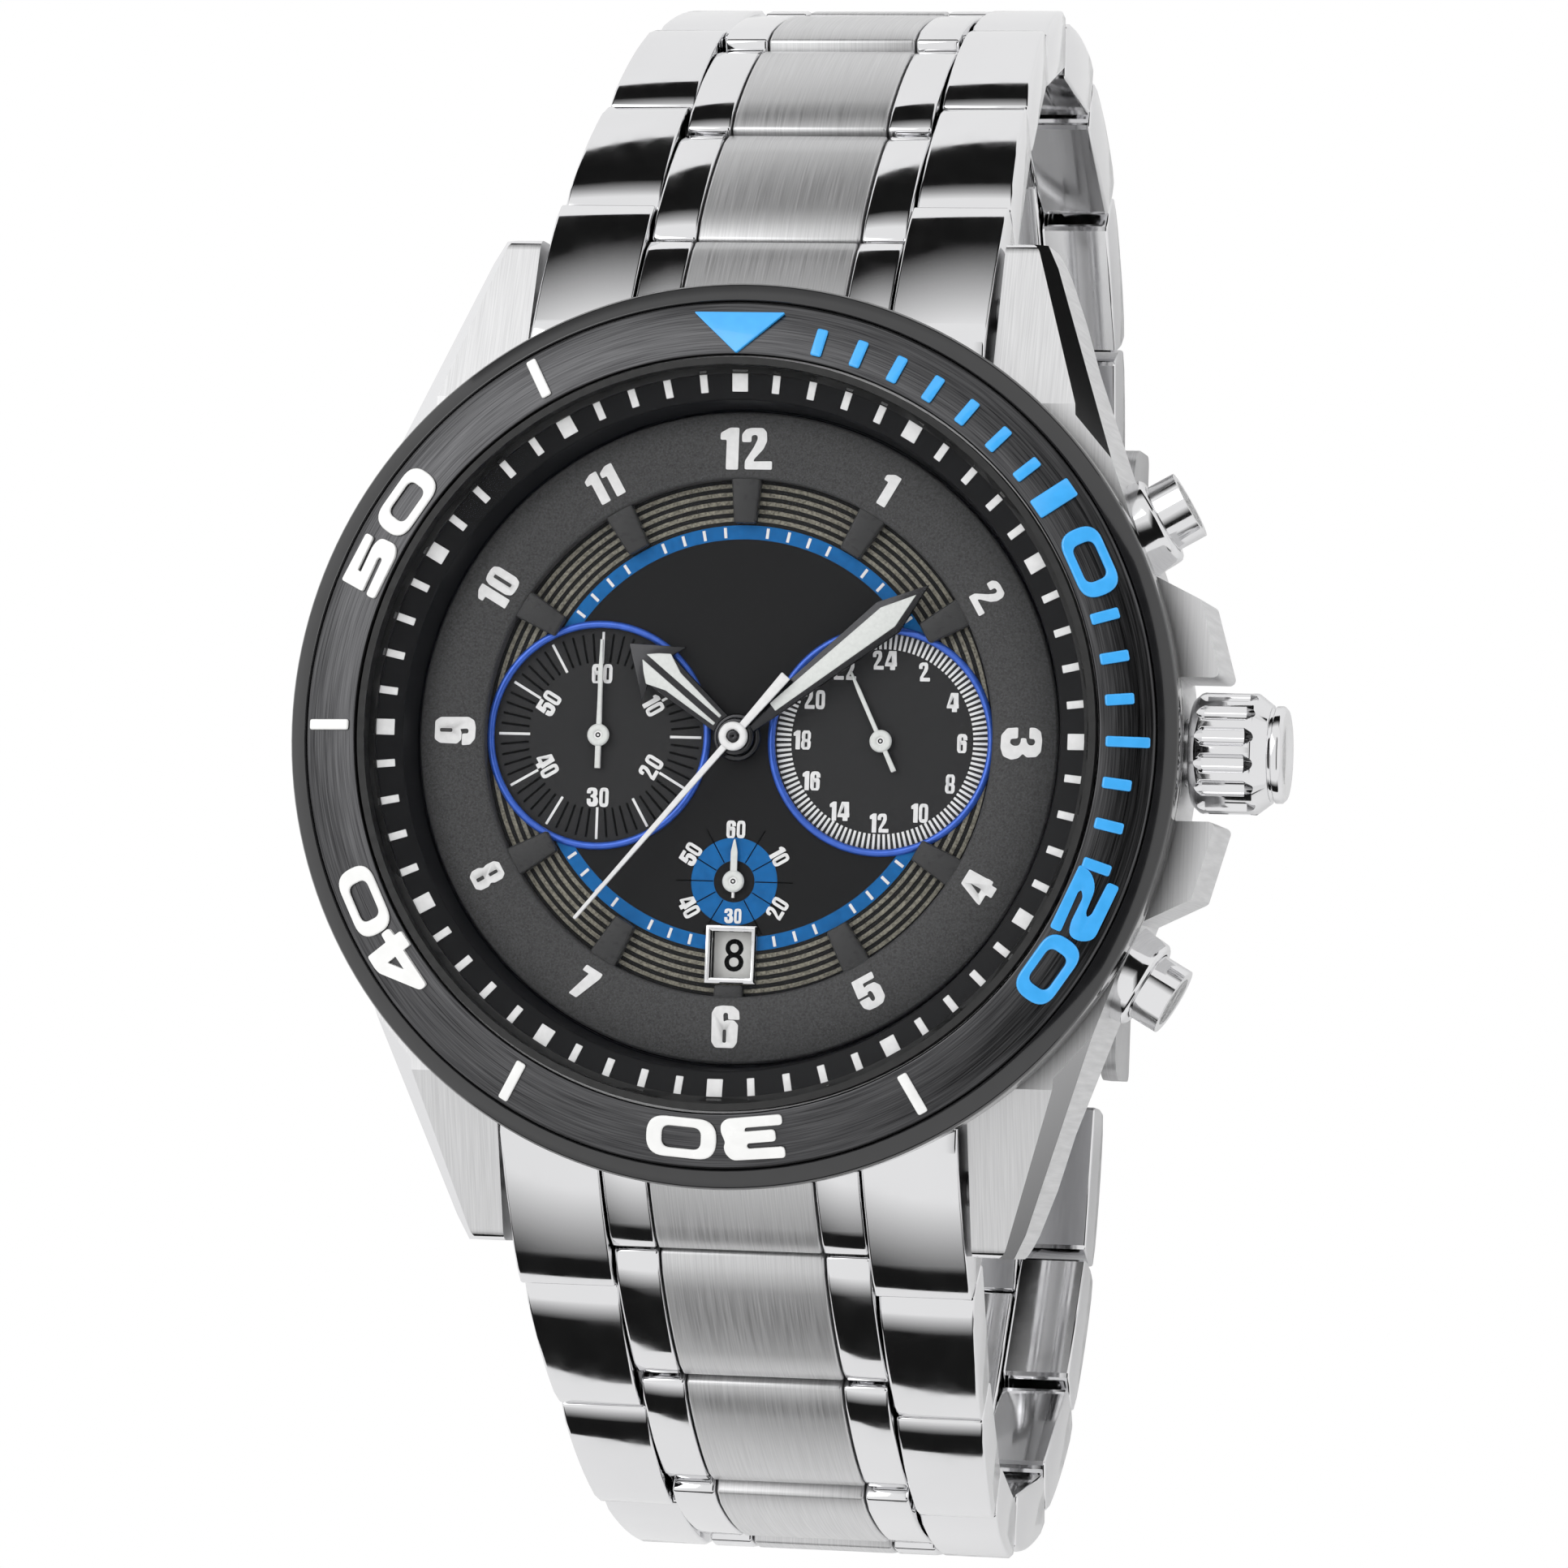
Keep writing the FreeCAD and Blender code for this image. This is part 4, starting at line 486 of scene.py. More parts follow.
def rounded_box(width, length, corner, steps=4):
    half_x, half_y = width / 2, length / 2
    corners = ((half_x, half_y), (-half_x, half_y), (-half_x, -half_y), (half_x, -half_y))
    return rounded_corners([(x, y, corner) for x, y in corners], steps)


def enamel_shape(points, material, name):
    """Domed enamel from an outline in mm."""
    outline([Vector(p) * MM for p in points])
    extrude((0, 0, ENAMEL))
    return finish_mesh(name, material, bevel=0.09 * MM, segments=3, angle=40)


def pierced(points, hole, material, name):
    """Domed enamel with a hole through it."""
    outline([Vector(p) * MM for p in hole])
    bpy.ops.transform.translate(value=(0, 0, -ENAMEL))
    extrude((0, 0, 3 * ENAMEL))
    cutter = finish_mesh("hole", material)
    outline([Vector(p) * MM for p in points])
    extrude((0, 0, ENAMEL))
    cut(finish_mesh(name, material), cutter)
    return finish_mesh(name, material, bevel=0.09 * MM, segments=3, angle=40)


def make_digit(digit, material, name):
    if digit == "0":
        return pierced(rounded_box(*ZERO, 8), rounded_box(*ZERO_HOLE, 8), material, name)
    if digit == "4":
        return pierced(rounded_corners(DIGITS["4"]), rounded_corners(FOUR_HOLE), material, name)
    return enamel_shape(rounded_corners(DIGITS[digit]), material, name)


LONG_BAR = (0.53, 2.2, 20.15)      # width, length and middle radius
SHORT_BAR = (0.56, 1.45, 19.8)
BAR_CORNER = 0.13
TRIANGLE = [(-2.32, 0.95, 0.12), (2.32, 0.95, 0.12), (0, -1.22, 0.12)]
TRIANGLE_R = 19.95 * MM
BLUE_MINUTES = (2, 3, 4, 5, 6, 7, 8, 12, 13, 14, 15, 16, 17, 18)
TENS_ANGLE = -6.4
ONES_ANGLE = 4.0


def bezel_bar(minute, size, material):
    width, length, radius = size
    bar = enamel_shape(rounded_box(width, length, BAR_CORNER), material, "bezel_bar")
    return place(bar, on_insert(minute * 6, radius * MM))


def make_bezel_marks():
    triangle = enamel_shape(rounded_corners(TRIANGLE), blue_enamel, "bezel_triangle")
    blue = [place(triangle, on_insert(0, TRIANGLE_R))]
    for minute in BLUE_MINUTES:
        blue.append(bezel_bar(minute, LONG_BAR if minute == 15 else SHORT_BAR, blue_enamel))
    white = [bezel_bar(minute, LONG_BAR, white_enamel) for minute in (25, 35, 45, 55)]
    for number in (10, 20, 30, 40, 50):
        group, material = (blue, blue_enamel) if number < 30 else (white, white_enamel)
        tens = make_digit(str(number // 10), material, "bezel_digit")
        ones = make_digit("0", material, "bezel_digit")
        group.append(place(tens, on_insert(number * 6 + TENS_ANGLE)))
        group.append(place(ones, on_insert(number * 6 + ONES_ANGLE)))
    for group, name in ((blue, "bezel_marks_blue"), (white, "bezel_marks_white")):
        marks = joined(group, name)
        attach(marks, "bezel")


# --- chapter ring and dial ---
CHAPTER_FOOT_R = 16.35 * MM
CHAPTER_BACK_R = 17.2 * MM
CHAPTER_BAND = (Vector((16.65 * MM, CHAPTER_HIGH[2] - 0.25 * MM)), Vector((18.26 * MM, CHAPTER_HIGH[2])))
CHAPTER_MARK = (0.38, 1.1, 0.08)       # width, length and height
FIVE_MINUTES = 2.1                     # how much wider than the other marks


def make_chapter_ring():
    outer = CHAPTER_HIGH[0]
    low = CHAPTER_LOW[2]
    high = CHAPTER_HIGH[2]
    inner = CHAPTER_FOOT_R
    start, end = CHAPTER_BAND
    section = [(inner, low), (inner, low + 0.4 * MM), (inner + 0.07 * MM, low + 0.5 * MM),
               (start.x - 0.02 * MM, start.y - 0.08 * MM), (start.x + 0.06 * MM, start.y),
               (end.x, end.y - 0.03 * MM), (end.x, high), (outer, high), (outer, high - 0.8 * MM),
               (CHAPTER_BACK_R, low)]
    spun([(r, 0, z) for r, z in section], TURN_STEPS)
    ring = finish_mesh("chapter_ring_turned", chapter_black, bevel=0.03 * MM, segments=1, angle=15)
    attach(ring, "case")
    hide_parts("chapter_ring")
    slope = math.atan2(end.y - start.y, end.x - start.x)
    middle = start.lerp(end, 0.58)
    width, length, height = [size * MM for size in CHAPTER_MARK]
    marks = []
    for share, minutes in ((1, [m for m in range(60) if m % 5]), (FIVE_MINUTES, range(0, 60, 5))):
        mark = rounded_bar(width * share, length, height, print_white, "chapter_mark", 0.035 * MM)
        for minute in minutes:
            spot = clockwise(minute * 6) @ Matrix.Translation((0, middle.x, middle.y))
            marks.append(twin(mark, "chapter_mark", spot @ Matrix.Rotation(slope, 4, "X")))
        bpy.data.objects.remove(mark)
    marks = joined(marks, "chapter_marks")
    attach(marks, "case")


def washer(outer, inner, low, high, steps, name, material, center=(0, 0)):
    x, y = center
    spun([(x + inner, y, low), (x + outer, y, low), (x + outer, y, high), (x + inner, y, high)], steps,
         center=(x, y, 0))
    return finish_mesh(name, material, smooth=40)


def edged_ring(inner, outer, low, high, edge, steps):
    """Turned ring with its upper edges cut off."""
    spun([(inner, 0, low), (outer, 0, low), (outer, 0, high - edge), (outer - edge, 0, high),
          (inner + edge, 0, high), (inner, 0, high - edge)], steps)


def ride_dial(piece):
    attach(piece, "case")
    return piece


def number_text(text, height, squeeze, weight, material, name):
    """Condensed number of a given height, centred and lying flat."""
    deselect()
    bpy.ops.object.text_add()
    word = bpy.context.object
    word.data.body = text
    word.data.size = height * 1.3
    word.data.align_x = "CENTER"
    word.data.align_y = "CENTER"
    word.data.offset = weight * height
    word.data.space_character = 1.0 + weight
    word.data.extrude = PRINT
    word.data.resolution_u = 4
    bpy.ops.object.convert(target="MESH")
    word = bpy.context.object
    bpy.ops.object.mode_set(mode="EDIT")
    bpy.ops.mesh.select_all(action="SELECT")
    bpy.ops.mesh.remove_doubles(threshold=1e-7)
    bpy.ops.object.mode_set(mode="OBJECT")
    left, right = [end(v.co.x for v in word.data.vertices) for end in (min, max)]
    low, high = [end(v.co.y for v in word.data.vertices) for end in (min, max)]
    shift = Matrix.Translation((-(left + right) / 2, -(low + high) / 2, 0))
    tall = height / (high - low)
    place(word, Matrix.Diagonal((squeeze * tall, tall, 1, 1)) @ shift)
    word.name = name
    set_material(word, material)
    return word


HOUR_NUMERAL_R = 14.4 * MM
TALL_NUMERAL = 2.1 * MM          # at 3, 6, 9 and 12
LOW_NUMERAL = 1.68 * MM
DIGIT_GAP = 0.07                # of the numeral's height
DIGIT_CORNER = 0.035
NINE = [(7, 13), (20, 0), (84, 0), (98, 13), (100, 82), (88, 96), (64, 100), (24, 99), (3, 87.5), (0, 67),
        (41, 67), (42, 82), (54, 83), (59, 79), (57, 61), (47, 65.5), (20, 65.5), (5, 55)]
NINE_HOLE = [(46, 12), (59, 12), (59, 43), (46, 43)]
# Each hour digit: width over height, outline and holes in percent of both, with y downwards.
HOUR_DIGITS = {
    "0": (0.61, [(0, 20), (12, 4), (34, 0), (66, 0), (88, 4), (100, 20), (100, 80), (88, 96), (66, 100),
                 (34, 100), (12, 96), (0, 80)],
          [[(41, 19), (59, 19), (59, 81), (41, 81)]]),
    "1": (0.45, [(0, 13), (50, 0), (100, 0), (100, 100), (34, 100), (34, 29), (0, 29)], []),
    "2": (0.75, [(1, 34), (0, 16), (12, 4), (30, 0), (68, 0), (80, 10), (82, 31), (71, 50), (42, 74),
                 (39, 80), (100, 79), (100, 99), (12, 99), (12, 79), (39, 47), (51, 28), (51, 19), (42, 16),
                 (31, 19), (31, 34)], []),
    "3": (0.78, [(2, 31), (2, 17), (13, 4), (39, 0), (74, 2), (90, 13), (92, 36), (81, 45.5), (95, 56),
                 (100, 73), (90, 92), (65, 99), (26, 98), (5, 84), (2, 58), (35, 58), (37, 75), (50, 77),
                 (58, 68), (57, 56), (46, 51), (34, 51), (34, 38), (46, 37), (55.5, 31), (55.5, 21),
                 (46, 16), (36, 19), (35.5, 31)], []),
    "4": (0.8, [(33, 0), (94, 0), (98, 61), (100, 61), (100, 81), (86, 81), (86, 100), (45, 100), (45, 81),
                (0, 81), (2, 70)],
          [[(52, 23), (54, 61), (33, 61)]]),
    "5": (0.78, [(6, 0), (95, 0), (93, 20), (42, 20), (41, 33), (55, 29), (85, 31), (100, 47), (98, 82),
                 (80, 97), (50, 100), (20, 98), (3, 85), (0, 62), (42, 62), (44, 78), (53, 80), (61, 74),
                 (61, 54), (54, 47), (43, 50), (42, 55), (0, 55)], []),
    "6": (0.68, [(100 - x, 100 - y) for x, y in NINE], [[(100 - x, 100 - y) for x, y in NINE_HOLE]]),
    "7": (0.6, [(5, 0), (100, 0), (100, 15), (45, 100), (0, 100), (38, 20), (0, 20)], []),
    "8": (0.65, [(23, 0), (81, 0), (97.5, 13), (97.5, 39), (88, 50), (100, 61), (97.5, 87), (81, 100),
                 (19, 100), (1, 87), (0, 65), (12, 50), (5, 39), (7, 13)],
          [[(46, 16), (62, 16), (62, 45), (46, 45)], [(41, 61), (59, 61), (59, 86), (41, 86)]]),
    "9": (0.68, NINE, [NINE_HOLE]),
}


def flat_digit(digit, height, material, opening):
    """Printed digit, its left edge at x 0 and its middle at y 0; opening widens its holes."""
    ratio, corners, holes = HOUR_DIGITS[digit]

    def solid(shares, low, high, name):
        sized = [(x / 100 * ratio * height, (0.5 - y / 100) * height, DIGIT_CORNER * height)
                 for x, y in shares]
        outline([Vector((p.x, p.y, low)) for p in rounded_corners(sized, 2)])
        extrude((0, 0, high - low))
        return finish_mesh(name, material)

    piece = solid(corners, 0, 2 * PRINT, "hour_digit")
    for hole in holes:
        middle = sum(x for x, y in hole) / len(hole)
        wider = [(middle + (x - middle) * opening, y) for x, y in hole]
        piece = cut(piece, solid(wider, -PRINT, 3 * PRINT, "hole"))
    return piece


def flat_number(text, height, material, matrix, squeeze=1.0, opening=1.0):
    """The placed digits of a number centred on the matrix."""
    widths = [HOUR_DIGITS[digit][0] * height for digit in text]
    gap = DIGIT_GAP * height
    x = -(sum(widths) + gap * (len(text) - 1)) / 2
    digits = []
    for digit, width in zip(text, widths):
        spot = matrix @ Matrix.Diagonal((squeeze, 1, 1, 1)) @ Matrix.Translation((x, 0, 0))
        digits.append(place(flat_digit(digit, height, material, opening), spot))
        x += width + gap
    return digits


def make_hour_numerals():
    digits = []
    for hour in range(1, 13):
        height = LOW_NUMERAL if hour % 3 else TALL_NUMERAL
        upright = 180 if 3 < hour < 9 else 0
        on_ring = Matrix.Translation((0, HOUR_NUMERAL_R, HOUR_RING_Z)) @ clockwise(upright)
        digits += flat_number(str(hour), height, print_white, clockwise(30 * hour) @ on_ring)
    ride_dial(joined(digits, "hour_numerals"))


STRIPE_COUNT = 5
STRIPE_INNER_R = 10.85 * MM
STRIPE_PITCH = 0.42 * MM
STRIPE_WIDTH = 0.2 * MM
BLUE_RING_R = (10.65 * MM, 9.95 * MM)


def cut(piece, cutter):
    """Takes the cutter's solid out of the piece and removes the cutter."""
    deselect()
    piece.select_set(True)
    bpy.context.view_layer.objects.active = piece
    modifier = piece.modifiers.new("Cut", "BOOLEAN")
    modifier.operation = "DIFFERENCE"
    modifier.solver = "EXACT"
    modifier.object = cutter
    bpy.ops.object.modifier_apply(modifier=modifier.name)
    bpy.data.objects.remove(cutter)
    return piece


def cut_windows(piece):
    """Clears a print of both subdials and of the date window."""
    deselect()
    bpy.ops.mesh.primitive_cube_add(size=1, location=(DATE_LOW + DATE_HIGH) / 2)
    window = bpy.context.object
    window.dimensions = (DATE_HIGH[0] - DATE_LOW[0], DATE_HIGH[1] - DATE_LOW[1], 4 * MM)
    bpy.ops.object.transform_apply(location=True, rotation=True, scale=True)
    cut(piece, window)
    for x in (-SUBDIAL_X, SUBDIAL_X):
        deselect()
        bpy.ops.mesh.primitive_cylinder_add(vertices=128, radius=SUBDIAL_R, depth=4 * MM,
                                            location=(x, 0, DIAL_Z))
        cut(piece, bpy.context.object)
    return piece


def bare_of_subdials(angle, radius):
    """Whether a place on the dial lies clear of both subdials."""
    x = radius * math.sin(math.radians(angle))
    y = radius * math.cos(math.radians(angle))
    return math.hypot(abs(x) - SUBDIAL_X, y) > SUBDIAL_R + 0.25 * MM


def ring_of_bars(name, material, places, width, length, z, center=(0, 0), height=2 * PRINT):
    """Printed bars pointing outwards; places are (angle, middle radius)."""
    bar = rounded_bar(width, length, height, material, name, min(width, height) * 0.2)
    x, y = center
    bars = []
    for angle, radius in places:
        spot = Matrix.Translation((x, y, z)) @ clockwise(angle) @ Matrix.Translation((0, radius, 0))
        bars.append(twin(bar, name, spot))
    bpy.data.objects.remove(bar)
    return joined(bars, name)


def make_dial_rings():
    stripes = []
    for i in range(STRIPE_COUNT):
        inner = STRIPE_INNER_R + STRIPE_PITCH * i
        stripes.append(washer(inner + STRIPE_WIDTH, inner, DIAL_Z, DIAL_Z + 2 * PRINT, 120, "stripe",
                              stripe_beige))
    ride_dial(cut_windows(joined(stripes, "groove_stripes")))
    outer, inner = BLUE_RING_R
    blue = washer(outer, inner, DIAL_Z - PRINT, DIAL_Z + PRINT, 120, "minute_ring_blue", print_blue)
    ride_dial(cut_windows(blue))
    middle = (outer + inner) / 2
    places = [(6 * m, middle) for m in range(60) if m % 5 and bare_of_subdials(6 * m, middle)]
    ride_dial(ring_of_bars("minute_ticks", print_white, places, 0.15 * MM, 0.52 * MM, DIAL_Z + PRINT))


HOUR_RING_OUTER_R = 16.25 * MM
HOUR_RING_INNER_R = 12.92 * MM
BLOCK_INNER_R = 10.72 * MM


def make_hour_ring():
    """Raised grained ring with a tapered satin block at each hour clear of the subdials."""
    top = HOUR_RING_Z
    edge = 0.12 * MM
    inner = HOUR_RING_INNER_R
    edged_ring(inner, HOUR_RING_OUTER_R, DIAL_Z, top, edge, TURN_STEPS)
    ring = finish_mesh("hour_ring_turned", ring_grained, bevel=0.03 * MM, segments=1, angle=20)
    height = top - DIAL_Z - 0.14 * MM
    blocks = []
    for hour in (1, 2, 4, 5, 6, 7, 8, 10, 11, 12):
        inner_end = BLOCK_INNER_R if hour != 6 else 12.35 * MM
        share = (inner_end - BLOCK_INNER_R) / (inner - BLOCK_INNER_R)
        half = (0.56 + 0.19 * share) * MM
        outline([(-half, inner_end, DIAL_Z), (half, inner_end, DIAL_Z), (0.75 * MM, inner + edge, DIAL_Z),
                 (-0.75 * MM, inner + edge, DIAL_Z)])
        extrude((0, 0, height))
        block = finish_mesh("hour_block", block_grey, bevel=0.13 * MM, segments=3, angle=40)
        blocks.append(place(block, clockwise(30 * hour)))
    blocks = joined(blocks, "hour_blocks")
    for piece in (ring, blocks):
        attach(piece, "case")
    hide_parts("dial_hour_ring")


def make_subdial_faces():
    faces = [washer(SUBDIAL_R - 0.1 * MM, 0.3 * MM, SUBDIAL_FLOOR - PRINT, SUBDIAL_FLOOR + 0.008 * MM, 96,
                    "subdial_face", subdial_grey, (x, 0)) for x in (-SUBDIAL_X, SUBDIAL_X)]
    ride_dial(joined(faces, "subdial_faces"))


def make_subdial_rims():
    """Two rounded blue rings round the subdials."""
    rims = []
    for x in (-SUBDIAL_X, SUBDIAL_X):
        deselect()
        bpy.ops.mesh.primitive_torus_add(major_radius=SUBDIAL_R - 0.14 * MM, minor_radius=0.19 * MM,
                                         major_segments=160, minor_segments=12,
                                         location=(x, 0, DIAL_Z + 0.02 * MM))
        rims.append(finish_mesh("subdial_rim", rim_blue, smooth=60))
    rim = joined(rims, "subdial_rims_rounded")
    place(rim, Matrix())
    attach(rim, "case")
    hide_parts("subdial_rims")


SMALL_SQUEEZE = 0.8
SMALL_OPENING = 1.5


def dial_numbers(name, numbers, radius, height, z, center, turned=True):
    """Numbers round a subdial; numbers maps an angle to its text."""
    words = []
    x, y = center
    for angle, text in numbers.items():
        flip = 180 if turned and 90 < angle < 270 else 0
        turn = flip if turned else -angle
        spot = Matrix.Translation((x, y, z)) @ clockwise(angle) @ Matrix.Translation((0, radius, 0))
        words += flat_number(text, height, print_white, spot @ clockwise(turn), SMALL_SQUEEZE, SMALL_OPENING)
    return ride_dial(joined(words, name))


def make_minute_counter():
    center = (-SUBDIAL_X, 0)
    low = SUBDIAL_FLOOR
    middle = 4.4 * MM
    whites = [(30 * i, middle) for i in range(12)]
    blacks = [(6 * i, middle) for i in range(60) if i % 5]
    ride_dial(ring_of_bars("counter_lines_white", print_white, whites, 0.13 * MM, 1.6 * MM, low, center))
    ride_dial(ring_of_bars("counter_lines_black", print_dark, blacks, 0.12 * MM, 1.45 * MM, low, center))
    numbers = {60 * i: str(10 * i or 60) for i in range(6)}
    dial_numbers("counter_numerals", numbers, 3.1 * MM, 0.97 * MM, low, center)


def make_day_hour_scale():
    center = (SUBDIAL_X, 0)
    low = SUBDIAL_FLOOR
    ticks = [(3 * i, 4.98 * MM) for i in range(120)]
    ride_dial(ring_of_bars("day_hour_ticks", print_white, ticks, 0.13 * MM, 0.75 * MM, low, center))
    numbers = {30 * i: str(2 * i or 24) for i in range(12)}
    dial_numbers("day_hour_numerals", numbers, 4.05 * MM, 0.95 * MM, low, center, turned=False)


def make_small_seconds():
    center = (0, SMALL_SECONDS_Y)
    top = DIAL_Z + PRINT
    disc = washer(2.19 * MM, 1.04 * MM, DIAL_Z - PRINT, top, 96, "small_seconds_blue", print_blue, center)
    ride_dial(disc)
    lines = [(30 * i, 2.02 * MM) for i in range(12) if i % 6]
    ride_dial(ring_of_bars("small_seconds_lines", print_dark, lines, 0.05 * MM, 1.9 * MM, top, center))
    numbers = {60 * i: str(10 * i or 60) for i in range(6) if i != 3}
    dial_numbers("small_seconds_numerals", numbers, 2.6 * MM, 0.88 * MM, top, center)
    dial_numbers("small_seconds_thirty", {180: "30"}, 1.72 * MM, 0.75 * MM, top, center)


def make_date_window():
    """Stepped polished frame and the day's number."""
    x = DATE_HIGH[0]
    y = (DATE_HIGH[1] - DATE_LOW[1]) / 2
    middle = (DATE_HIGH[1] + DATE_LOW[1]) / 2
    top = DATE_HIGH[2]
    wall = 0.3 * MM
    section = [(0, DIAL_Z), (0, top - 0.05 * MM), (wall * 0.3, top), (wall * 0.65, top),
               (wall * 0.75, top - 0.1 * MM), (wall, top - 0.14 * MM), (wall, DIAL_Z)]
    corners = ((x, y), (-x, y), (-x, -y), (x, -y))
    loops = []
    for inset, z in section:
        outline([(cx - math.copysign(inset, cx), cy - math.copysign(inset, cy), z) for cx, cy in corners])
        bpy.ops.mesh.delete(type="ONLY_FACE")
        bpy.ops.object.mode_set(mode="OBJECT")
        loops.append(bpy.context.object)
    frame_piece = joined(loops, "date_frame_stepped")
    bpy.ops.object.mode_set(mode="EDIT")
    bpy.ops.mesh.select_all(action="SELECT")
    bpy.ops.mesh.remove_doubles(threshold=1e-7)
    bpy.ops.mesh.bridge_edge_loops(type="CLOSED")
    bpy.ops.mesh.normals_make_consistent(inside=False)
    finish_mesh("date_frame_stepped", steel_polished, bevel=0.02 * MM, segments=1)
    place(frame_piece, Matrix.Translation((0, middle, 0)))
    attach(frame_piece, "case")
    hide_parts("date_frame")
    disc_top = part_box("date_disc")[1][2]
    day = number_text("8", 1.63 * MM, 0.95, 0.008, print_dark, "day_number")
    place(day, Matrix.Translation((0, middle, disc_top)))
    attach(day, "date")


# --- hands ---
def plate_from(points, low, high, material, name, bevel=0.05 * MM):
    """Flat symmetric plate from its right half, listed from the tip to the tail."""
    whole = list(points) + [(-x, y) for x, y in reversed(points) if x > 0]
    outline([(x * MM, y * MM, low) for x, y in whole])
    extrude((0, 0, high - low))
    return finish_mesh(name, material, bevel=bevel, segments=2, angle=25)


def hub(radius, low, high, material, name, hole=0.12 * MM):
    """Domed round hub with a small centre hole."""
    edged_ring(hole, radius, low, high, 0.08 * MM, 48)
    return finish_mesh(name, material, bevel=0.02 * MM, segments=1)


def ride_hand(pieces, body, node, angle, center=(0, 0)):
    x, y = center
    hand_piece = joined(pieces, node + "_dressed")
    place(hand_piece, Matrix.Translation((x, y, 0)) @ clockwise(angle))
    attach(hand_piece, body)
    if node in NODES:
        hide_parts(node)


# Right halves of the plates from tip to tail, and the lume on them, in mm; angles in degrees from 12.
HOUR_ANGLE = 309
HOUR_PLATE = [(0, 7.3), (1.75, 4.9), (0.95, 5.2), (0.5, 0.8), (0.5, 0.0)]
HOUR_LUME = [(0.16, 1.3), (0.32, 1.3), (0.58, 4.3), (0.98, 5.3), (0.6, 5.8), (0.16, 6.25)]
MINUTE_ANGLE = 51
MINUTE_PLATE = [(0, 12.3), (0.95, 9.7), (0.36, 0.7), (0.36, 0.0)]
MINUTE_LUME = [(0, 11.5), (0.6, 9.7), (0.24, 2.4), (-0.24, 2.4), (-0.6, 9.7)]
CHRONO_ANGLE = 220
CHRONO_BLADE = [(0.09, 12.1), (0.17, 0), (0.27, -4.0)]
DAY_HOUR_ANGLE = 334.5


def lume_strip(points, top, bevel):
    outline([(x * MM, y * MM, top - 0.02 * MM) for x, y in points])
    extrude((0, 0, 0.08 * MM))
    return finish_mesh("lume", hand_lume, bevel=bevel, segments=2)


def make_centre_hands():
    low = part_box("hour_hand")[0][2]
    top = low + 0.18 * MM
    plate = plate_from(HOUR_PLATE, low, top, hand_dark, "hour")
    strips = [lume_strip([(sign * x, y) for x, y in HOUR_LUME], top, 0.05 * MM) for sign in (1, -1)]
    ride_hand([plate, hub(1.2 * MM, low, low + 0.3 * MM, hand_dark, "hour_hub", 0.82 * MM)], "hour",
              "hour_hand", HOUR_ANGLE)
    ride_hand(strips, "hour", "hour_lume", HOUR_ANGLE)
    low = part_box("minute_hand")[0][2]
    top = low + 0.18 * MM
    plate = plate_from(MINUTE_PLATE, low, top, hand_dark, "minute")
    strip = lume_strip(MINUTE_LUME, top, 0.06 * MM)
    ride_hand([plate, hub(0.95 * MM, low, low + 0.3 * MM, hand_dark, "minute_hub", 0.57 * MM)], "minute",
              "minute_hand", MINUTE_ANGLE)
    ride_hand([strip], "minute", "minute_lume", MINUTE_ANGLE)
    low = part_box("chrono_seconds_hand")[0][2]
    blade = plate_from(CHRONO_BLADE, low, low + 0.2 * MM, print_white, "chrono")
    ride_hand([blade, hub(0.72 * MM, low, low + 0.32 * MM, print_white, "chrono_hub", 0.34 * MM),
               hub(0.34 * MM, low, low + 0.26 * MM, hand_dark, "chrono_centre", 0.01 * MM)], "chrono",
              "chrono_seconds_hand", CHRONO_ANGLE)


def make_small_hand(body, node, angle, center, tip, tail, half, hub_r):
    """Slim white hand with a broader tail, over the node's arbor and wheel."""
    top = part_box(node)[1][2]
    low = top - 0.12 * MM
    points = [(0.05, tip), (half, tip * 0.72), (half, 0), (half * 1.25, -tail)]
    blade = plate_from(points, low, top - 0.02 * MM, hand_lume, body)
    piece_hub = hub(hub_r, low, top + 0.06 * MM, hand_lume, body + "_hub", 0.18 * MM)
    dark_centre = hub(0.18 * MM, low, top + 0.03 * MM, hand_dark, body + "_centre", 0.01 * MM)
    x, y = center
    pieces = joined([blade, piece_hub, dark_centre], node + "_blade")
    place(pieces, Matrix.Translation((x, y, 0)) @ clockwise(angle))
    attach(pieces, body)


def make_small_hands():
    make_small_hand("minute_counter", "minute_counter_hand", 0, (-SUBDIAL_X, 0), 4.8, 1.65, 0.11, 0.56 * MM)
    make_small_hand("day_hour", "day_hour_hand", DAY_HOUR_ANGLE, (SUBDIAL_X, 0), 3.85, 1.65, 0.11, 0.56 * MM)
    make_small_hand("small_seconds", "small_seconds_hand", 0, (0, SMALL_SECONDS_Y), 2.05, 0.0, 0.17,
                    0.55 * MM)


# --- crown and pushers ---
def along_x(points, steps, name, material, bevel=0.05 * MM):
    """Turned piece about the X axis from (distance, radius) corners."""
    spun([(x * MM, 0, r * MM) for x, r in points], steps, axis=(1, 0, 0))
    return finish_mesh(name, material, bevel=bevel, segments=2, angle=25)


FLUTES = 14
PUSHER_ANGLE = 60.3             # from 12 and from 6 o'clock, in degrees


